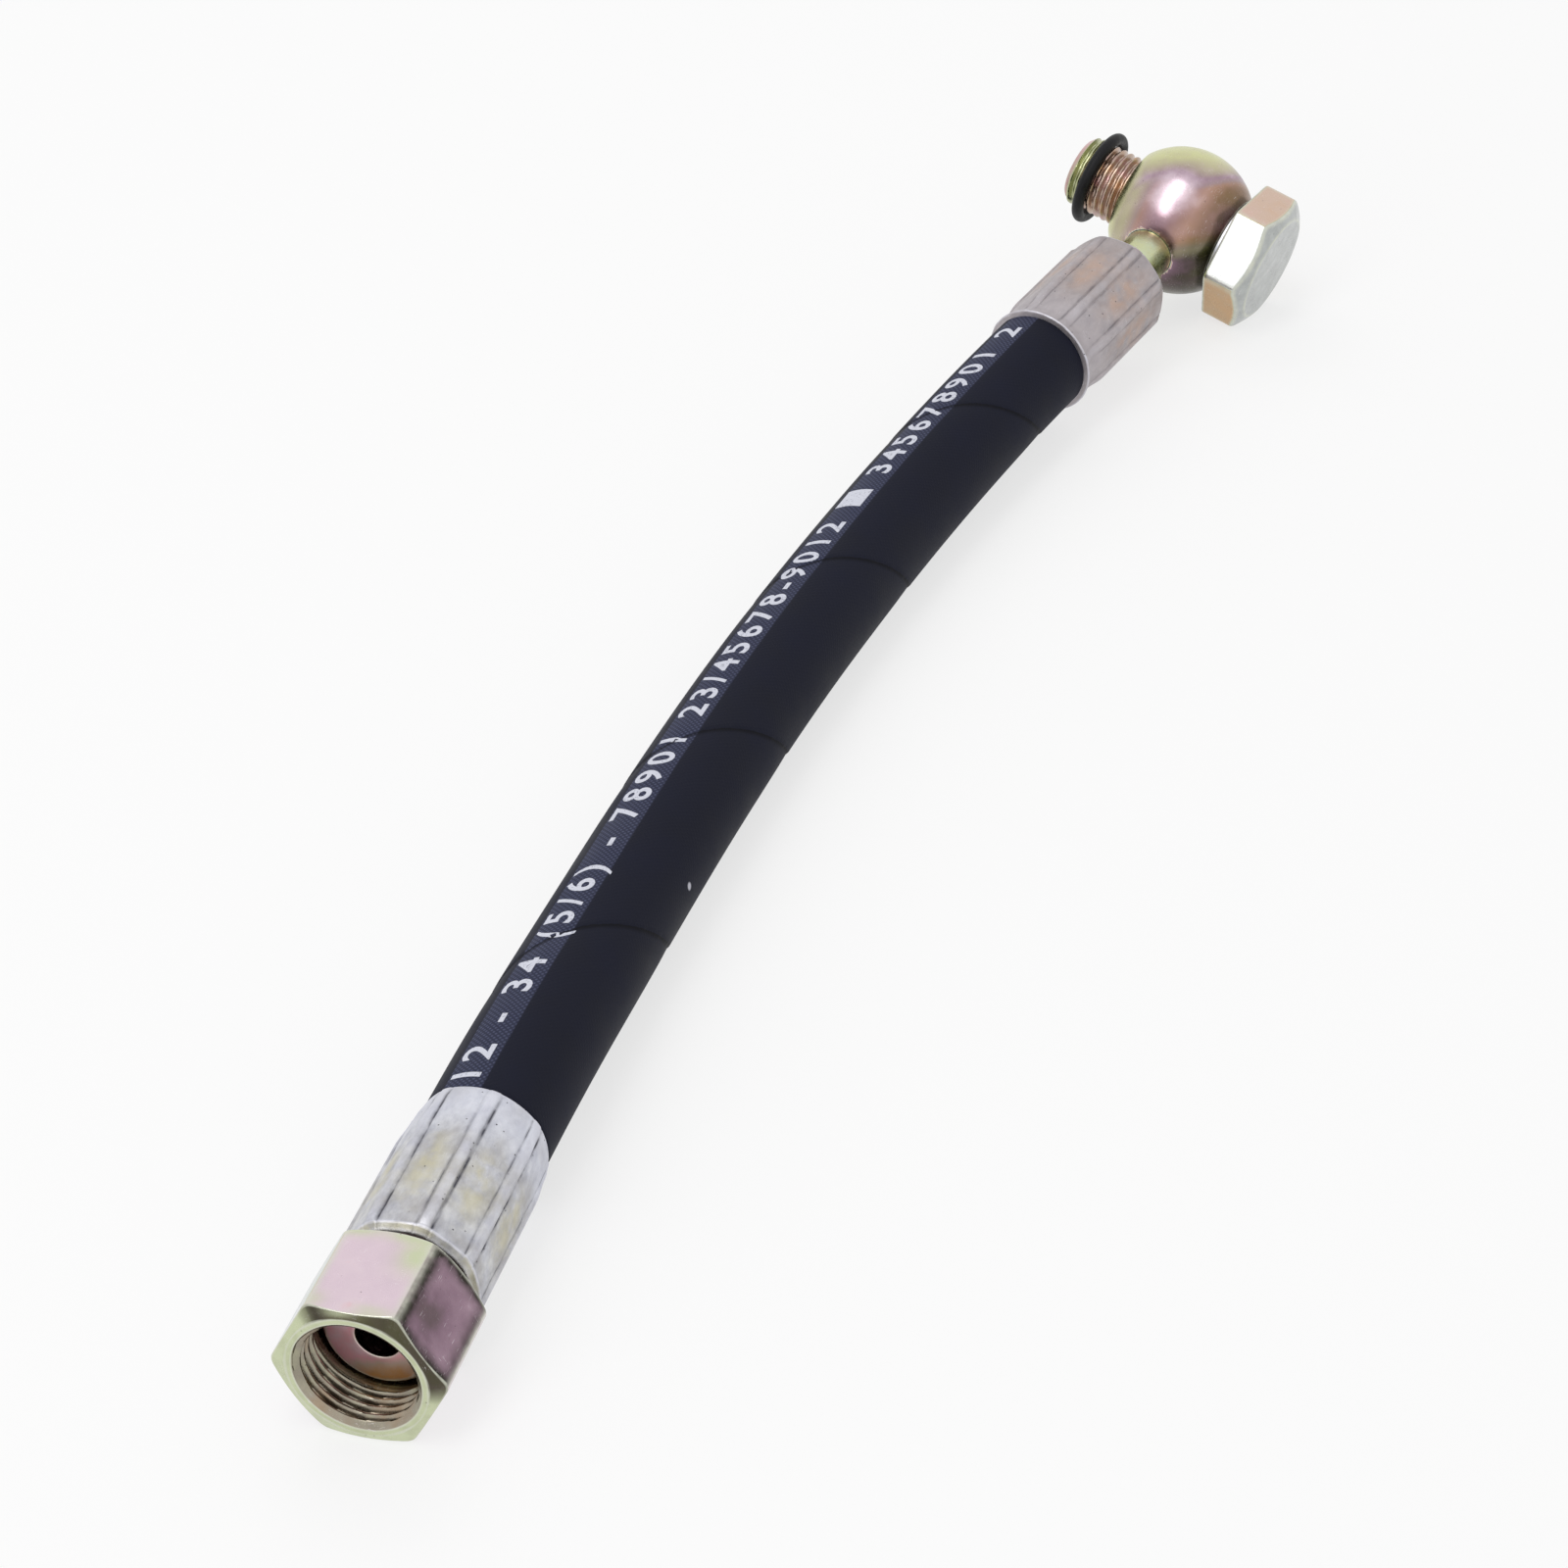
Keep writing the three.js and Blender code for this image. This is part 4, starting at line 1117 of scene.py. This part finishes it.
eye_reach = 25.2
ball_radius = 14.235
eye_half = 10.8
eye_bore = 7.3
oil_groove = 9
oil_groove_half = 4
to_eye = Matrix.Translation((-eye_reach * MM, 0, 0)) @ Matrix.Rotation(math.pi / 2, 4, "Z")
eye_place = far_place @ to_eye
reach_angle = math.asin(eye_half / ball_radius)
face_edge = ball_radius * math.cos(reach_angle)
angles = even_angles(144)
corners = [
    (eye_half, eye_bore, 0.25),
    (oil_groove_half, eye_bore, 0.15),
    (oil_groove_half, oil_groove, 0.3),
    (-oil_groove_half, oil_groove, 0.3),
    (-oil_groove_half, eye_bore, 0.15),
    (-eye_half, eye_bore, 0.25),
    (-eye_half, face_edge, 0.25),
]
for a in np.linspace(-reach_angle, reach_angle, 52)[1:-1]:
    corners.append((ball_radius * math.sin(a), ball_radius * math.cos(a), 0))
corners.append((eye_half, face_edge, 0.25))
rows, edges = eased(corners, len(angles))
x, r = rows[:, 0], rows[:, 1]

# The ball is painted in bands across a slanting direction, "lean" being 1 at its top: partly the
# chromate's own colours and partly painted reflections. The spot where the lamp shines is painted
# pale pink, a painted highlight, and the belt next to the bolt's head is painted dark, painted
# shade.
from_middle = np.stack([x, r * np.cos(angles), r * np.sin(angles)], axis=-1)
from_middle = from_middle @ np.array(eye_place.to_3x3()).T / ball_radius
lean = from_middle @ np.array((0.53, 0.17, 0.83))
shine = from_middle @ np.array((-0.67, -0.027, 0.744)) - 1
sway = lean + 0.06 * np.sin(0.4 * x + 0.6) + 0.04 * np.sin(3 * angles + 0.7 * x)
near_head = np.clip((x - 5) / 2.5, 0, 1) * np.clip((0.45 - lean) / 0.15, 0, 1)
tan = np.clip((0.5 - sway) / 0.15, 0, 1) * np.clip((sway + 0.6) / 0.1, 0, 1)
bands_at = [-1, -0.8, -0.65, -0.5, -0.3, -0.1, 0.1, 0.3, 0.5, 1]
film_and_reflection_in_bands = [0.97, 0.93, 0.8, 0.92, 0.74, 0.82, 0.72, 0.78, 0.74, 0.74]
film_and_painted_light = np.interp(sway, bands_at, film_and_reflection_in_bands)
film_and_painted_light += (0.93 - film_and_painted_light) * near_head * (0.65 + 0.35 * np.sin(9 * lean))
film_and_painted_light += (0.58 - film_and_painted_light) * np.exp(shine / 0.035)
thin = np.clip((sway - 0.52) / 0.25, 0, 1) ** 0.8
thin = np.maximum(thin, np.clip((-7.0 - x) / 3, 0, 1))
thin = np.maximum(thin, 0.8 * blot(sway + 0.68, 0.1) * (x < 4))
thin = np.maximum(thin, tan * (0.34 + 0.22 * np.sin(2 * angles + 0.6 * x + 3 * lean)))
thin *= 1 - 0.8 * np.exp(shine / 0.06)
under = np.interp(sway, [-0.6, -0.4, 0.35, 0.55], [0.2, 0.34, 0.34, 0.2])
under += (0.2 - under) * np.clip((-4 - x) / 3, 0, 1)
# Painted shade in the bore, beside the bolt's head and on the underside.
shade_and_dark_reflection = (r < eye_bore + 0.05) * 0.5 + near_head * 0.45 + 0.35 * np.clip(-0.35 - lean, 0, 1)
marks = {"edge": edges, "film_and_painted_light": film_and_painted_light, "thin": thin, "under": under, "shade_and_dark_reflection": shade_and_dark_reflection}
eye = turned_piece("eye_ball", eye_place, angles, rows, marks)


def cut_away(piece, tool):
    """Takes the tool's shape off the piece."""
    cut = piece.modifiers.new("cut", "BOOLEAN")
    cut.operation = "DIFFERENCE"
    cut.solver = "EXACT"
    cut.object = tool
    scene_now = bpy.context.evaluated_depsgraph_get()
    shape = bpy.data.meshes.new_from_object(piece.evaluated_get(scene_now))
    piece.modifiers.remove(cut)
    piece.data = shape
    bpy.data.objects.remove(tool)
    close_and_smooth(piece)


neck_radius = 4.9
neck_depth = 11.1
socket_end = 16
socket_place = eye_place @ Matrix.Rotation(-math.pi / 2, 4, "Z")
corners = [
    (0, 0, 0),
    (0, nipple_bore, 0),
    (neck_depth - 0.1, nipple_bore, 0),
    (neck_depth - 0.1, neck_radius + 0.1, 0),
    (socket_end, neck_radius + 0.1, 0),
    (socket_end, 0, 0),
]
angles = even_angles(72)
rows, edges = eased(corners, len(angles))
# The socket's walls are painted dark: painted shade in the hole.
marks = {"edge": edges, "film_and_painted_light": all_over(rows, 0.3), "shade_and_dark_reflection": all_over(rows, 0.5)}
cut_away(eye, turned_piece("socket", socket_place, angles, rows, marks, ring=False))
keep_own_place(eye, eye_place)
eye.data.materials.append(chromate)
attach(eye, "hose")
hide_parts("banjo_eye")

neck_tip = neck_depth - eye_reach
neck_end = -1.5
corners = [
    (neck_tip, nipple_bore, 0.2),
    (neck_tip, neck_radius, 0.1),
    (neck_end, neck_radius, 0.1),
    (neck_end, collar_radius, 0.25),
    *hose_tail(),
]
angles = even_angles(96)
rows, edges = eased(corners, len(angles))
# The bore is painted dark: painted shade.
in_bore = rows[:, 1] < nipple_bore + 0.25
marks = {"edge": edges, "film_and_painted_light": all_over(rows, 0.19), "shade_and_dark_reflection": in_bore * 0.8}
far_nipple = turned_piece("far_nipple_turned", far_place, angles, rows, marks)
keep_own_place(far_nipple, far_place)
far_nipple.data.materials.append(chromate)
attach(far_nipple, "hose")
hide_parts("far_nipple")

# ---- Sealing washer ----
# A flat ring of soft bright metal that lies loose between the eye and the bolt's head. The bolt
# squeezes it, so that it seals.

washer_start = eye_half + 0.1
washer_end = washer_start + 1
washer_hole = 7.15
washer_radius = 9.5
corners = [
    (washer_start, washer_hole, 0.1),
    (washer_start, washer_radius, 0.2),
    (washer_end, washer_radius, 0.2),
    (washer_end, washer_hole, 0.1),
]
rows, edges = eased(corners, len(angles))
washer = turned_piece("washer_ring", eye_place, angles, rows, {"edge": edges})
keep_own_place(washer, eye_place)
bright, tree, shader = new_material("bright_washer", Metallic=1.0)
touch = handled_nodes(tree, 0.8, 0.5)
cloudy = reach(tree, touch["Cloud"], 0.35, 0.65)
colour = mix(tree, cloudy, linear(196, 199, 206), linear(218, 220, 226))
colour = mix(tree, touch["Worn edge and glint"], colour, linear(236, 236, 238))
colour = mix(tree, touch["Pit"], colour, linear(90, 88, 90))
tree.links.new(colour, shader.inputs["Base Color"])
rough = reach(tree, touch["Cloud"], 0.3, 0.7, 0.28, 0.42)
tree.links.new(rough, shader.inputs["Roughness"])
height = plus(tree, touch["Scratch"], touch["Pit"])
emboss(tree, shader, height, -0.06 * MM, 0.3)
washer.data.materials.append(bright)
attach(washer, "washer")
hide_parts("sealing_washer")

# ---- Banjo bolt ----
# A hollow hexagon bolt, yellow-chromated. Its fine thread stops at a waist in the eye, where cross
# holes let the oil in, and its tip is chamfered.

bolt_place = eye_place @ Matrix.Rotation(math.radians(-5.3), 4, "X")
head_height = 8.6
bolt_length = 35
head_start = washer_end + 0.1
head_end = head_start + head_height
bolt_tip = head_start - bolt_length
bolt_flat = 12
bolt_round = 2.0
head_face = 10.3
bolt_bore = 3
bore_end = 3.6
tip_radius = 5.8
waist_radius = 6
waist_half = 4.3
shank_radius = 7
bolt_thread_root = 6.19
angles = hex_angles(bolt_round, bolt_flat)
reach_out, at_corner = hex_radius(angles, bolt_round, bolt_flat)
shank = []
for x in np.arange(bolt_tip + 0.25, -4.4, thread_step):
    crest = bolt_thread_root + thread_depth * thread_height(x, angles, thread_pitch)
    crest = crest + (6.3 - crest) * np.clip((x + 5.4) / 0.6, 0, 1)
    shank.append((x, np.minimum(crest, tip_radius + (x - bolt_tip)), 0))
corners = [
    (4.8, 0, 0),
    (bore_end, bolt_bore, 0),
    (bolt_tip, bolt_bore, 0.2),
    (bolt_tip, tip_radius, 0.12),
    *shank,
    (-waist_half, waist_radius, 0),
    (waist_half, waist_radius, 0),
    (5.1, shank_radius, 0.1),
    (head_start, shank_radius, 0),
    (head_start, reach_out, 0.5),
    (head_end - (reach_out - head_face) * back_slope, reach_out, 0.5),
    (head_end, head_face, 0.25),
    (head_end, 0, 0),
]
rows, edges = eased(corners, len(angles))
x, r = rows[:, 0], rows[:, 1]
on_head = x > head_start
on_flat = (r > reach_out - 0.02) & (x > head_start - 0.1)
on_shank = (r < shank_radius + 0.1) & (x < head_start)
on_tip = x < bolt_tip + 1.0
above_ring = (x > bolt_tip + 1.0) & (x < bolt_tip + 3.6)
in_bore = (r < bolt_bore + 0.05) & (x < head_start)
flat_number, _ = flat_of(angles)
# Each flat of the head has its own colour, partly the chromate's and partly painted light: one
# flat is painted near white, a painted highlight.
film_light_and_shade_on_flats = np.array([0.6, 0.45, 0.0, 0.31, 0.45, 0.3])
thin_on_flats = np.array([0, 0.8, 0, 0.85, 0, 0])
under_on_flats = np.array([0, 0.43, 0, 0.32, 0, 0])
film_and_painted_light = np.where(on_flat, film_light_and_shade_on_flats[flat_number], 0.09)
film_and_painted_light = np.where(on_shank, 0.43, film_and_painted_light)
film_and_painted_light = np.where(on_tip, 0.46, film_and_painted_light)
thin = np.where(on_flat, thin_on_flats[flat_number], on_head * 1.0)
thin = np.where(above_ring, 1.0, thin)
under = np.where(on_head, 0.07, 0.18)
under = np.where(on_flat, under_on_flats[flat_number], under)
# The bolt is painted darker all over, a little more on the shank and on the head's faces besides
# its flats, and fully in its bore: painted shade.
shade_and_dark_reflection = np.where(on_shank & (x > bolt_tip + 1.0), 0.38, 0.3)
shade_and_dark_reflection = np.where(on_head, 0.4 * ~on_flat, shade_and_dark_reflection)
shade_and_dark_reflection = np.where(in_bore, 1.0, shade_and_dark_reflection)
# The head's rounded corners get a bright line, partly worn plating and partly a painted highlight.
edge = np.maximum(edges[:, None], on_flat * at_corner * 0.6)
marks = {"edge": edge, "film_and_painted_light": film_and_painted_light, "thin": thin, "under": under, "shade_and_dark_reflection": shade_and_dark_reflection}
bolt = turned_piece("bolt_hex", bolt_place, angles, rows, marks, ring=False)
drill_radius = 2.25
corners = [(-9, 0, 0), (-9, drill_radius, 0), (9, drill_radius, 0), (9, 0, 0)]
angles = even_angles(48)
# The cross holes' walls are painted dark: painted shade.
for axis in ("Y", "Z"):
    across = bolt_place @ Matrix.Rotation(math.pi / 2, 4, axis)
    rows, edges = eased(corners, len(angles))
    marks = {"edge": edges, "film_and_painted_light": all_over(rows, 0.3), "shade_and_dark_reflection": all_over(rows, 0.8)}
    cut_away(bolt, turned_piece("drill", across, angles, rows, marks, ring=False))
keep_own_place(bolt, bolt_place)
bolt.data.materials.append(chromate)
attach(bolt, "bolt")
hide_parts("banjo_bolt")

# ---- Rubber ring ----
# A black nitrile O-ring, stretched over the thread. It keeps the bolt in its hole until the hose
# is fitted.

ring_middle = bolt_tip + 4.6
ring_radius = 8.27
ring_half = 1.17
corners = []
for a in even_angles(32):
    along = ring_middle - ring_half * math.sin(a)
    corners.append((along, ring_radius + ring_half * math.cos(a), 0))
angles = even_angles(96)
rows, edges = eased(corners, len(angles))
marks = {"edge": edges}
ring = turned_piece("ring_rubber_seal", bolt_place, angles, rows, marks, sharp=80)
keep_own_place(ring, bolt_place)
nitrile, tree, shader = new_material("ring_rubber", Specular_IOR_Level=0.22)
own = mark(tree, "own")["Vector"]
cloud = noise(tree, own, 0.8, 4.0)
colour = mix(tree, reach(tree, cloud, 0.35, 0.65), linear(12, 12, 14), linear(22, 22, 25))
tree.links.new(colour, shader.inputs["Base Color"])
rough = reach(tree, cloud, 0.3, 0.7, 0.38, 0.55)
tree.links.new(rough, shader.inputs["Roughness"])
grain = noise(tree, own, 6.0, 3.0)
emboss(tree, shader, grain, 0.05 * MM, 0.25)
ring.data.materials.append(nitrile)
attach(ring, "bolt")
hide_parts("bolt_o_ring")

# ---- Floor and light ----
# A white table under one wide lamp that the metal mirrors, and two weaker ones that it doesn't.
# The camera and the metal see the table and the world round it as white.


def plain_light(name, place, size, power, mirrored):
    """A rectangular lamp that points at the middle of the table."""
    data = bpy.data.lights.new(name, "AREA")
    data.shape = "RECTANGLE"
    data.size, data.size_y = size
    data.energy = power
    lamp = bpy.data.objects.new(name, data)
    lamp.location = place
    lamp.rotation_euler = (-Vector(place)).to_track_quat("-Z", "Y").to_euler()
    lamp.visible_glossy = mirrored
    bpy.context.scene.collection.objects.link(lamp)


plain_light("overhead", (-0.5, 0.25, 1.17), size=(0.4, 1.5), power=4.6, mirrored=True)
plain_light("beyond_eye", (0.9, 0.5, 0.95), size=(1.0, 0.7), power=2.6, mirrored=False)
plain_light("beyond_nut", (-1.3, 0.6, 0.5), size=(0.5, 0.5), power=1.6, mirrored=False)

world = bpy.data.worlds.new("studio")
bpy.context.scene.world = world
world.use_nodes = True
tree = world.node_tree
tree.nodes.clear()
rays = add(tree, "ShaderNodeLightPath").outputs
seen = larger(tree, rays["Is Camera Ray"], rays["Is Transmission Ray"])
seen = larger(tree, seen, rays["Is Glossy Ray"])
plain_white = (1, 1, 1, 1)
soft = add(tree, "ShaderNodeBackground", {"Color": plain_white, "Strength": 0.6}).outputs[0]
white = add(tree, "ShaderNodeBackground", {"Color": plain_white, "Strength": 1.0}).outputs[0]
both = add(tree, "ShaderNodeMixShader", {0: seen, 1: soft, 2: white}).outputs[0]
add(tree, "ShaderNodeOutputWorld", {0: both})

bpy.ops.mesh.primitive_plane_add(size=6, location=(0, 0, 0))
floor = bpy.context.object
floor.name = "floor"
ground, tree, shader = new_material("floor_white", Roughness=0.9)
shader.inputs["Base Color"].default_value = (0.97, 0.97, 0.97, 1)
rays = add(tree, "ShaderNodeLightPath").outputs
glow = add(tree, "ShaderNodeEmission", {"Color": plain_white, "Strength": 1.0}).outputs[0]
seen = times(tree, larger(tree, rays["Is Camera Ray"], rays["Is Glossy Ray"]), 0.7)
both = add(tree, "ShaderNodeMixShader", {0: seen, 1: shader.outputs[0], 2: glow}).outputs[0]
tree.links.new(both, tree.nodes["Material Output"].inputs[0])
floor.data.materials.append(ground)

bpy.context.scene.view_settings.view_transform = "Standard"
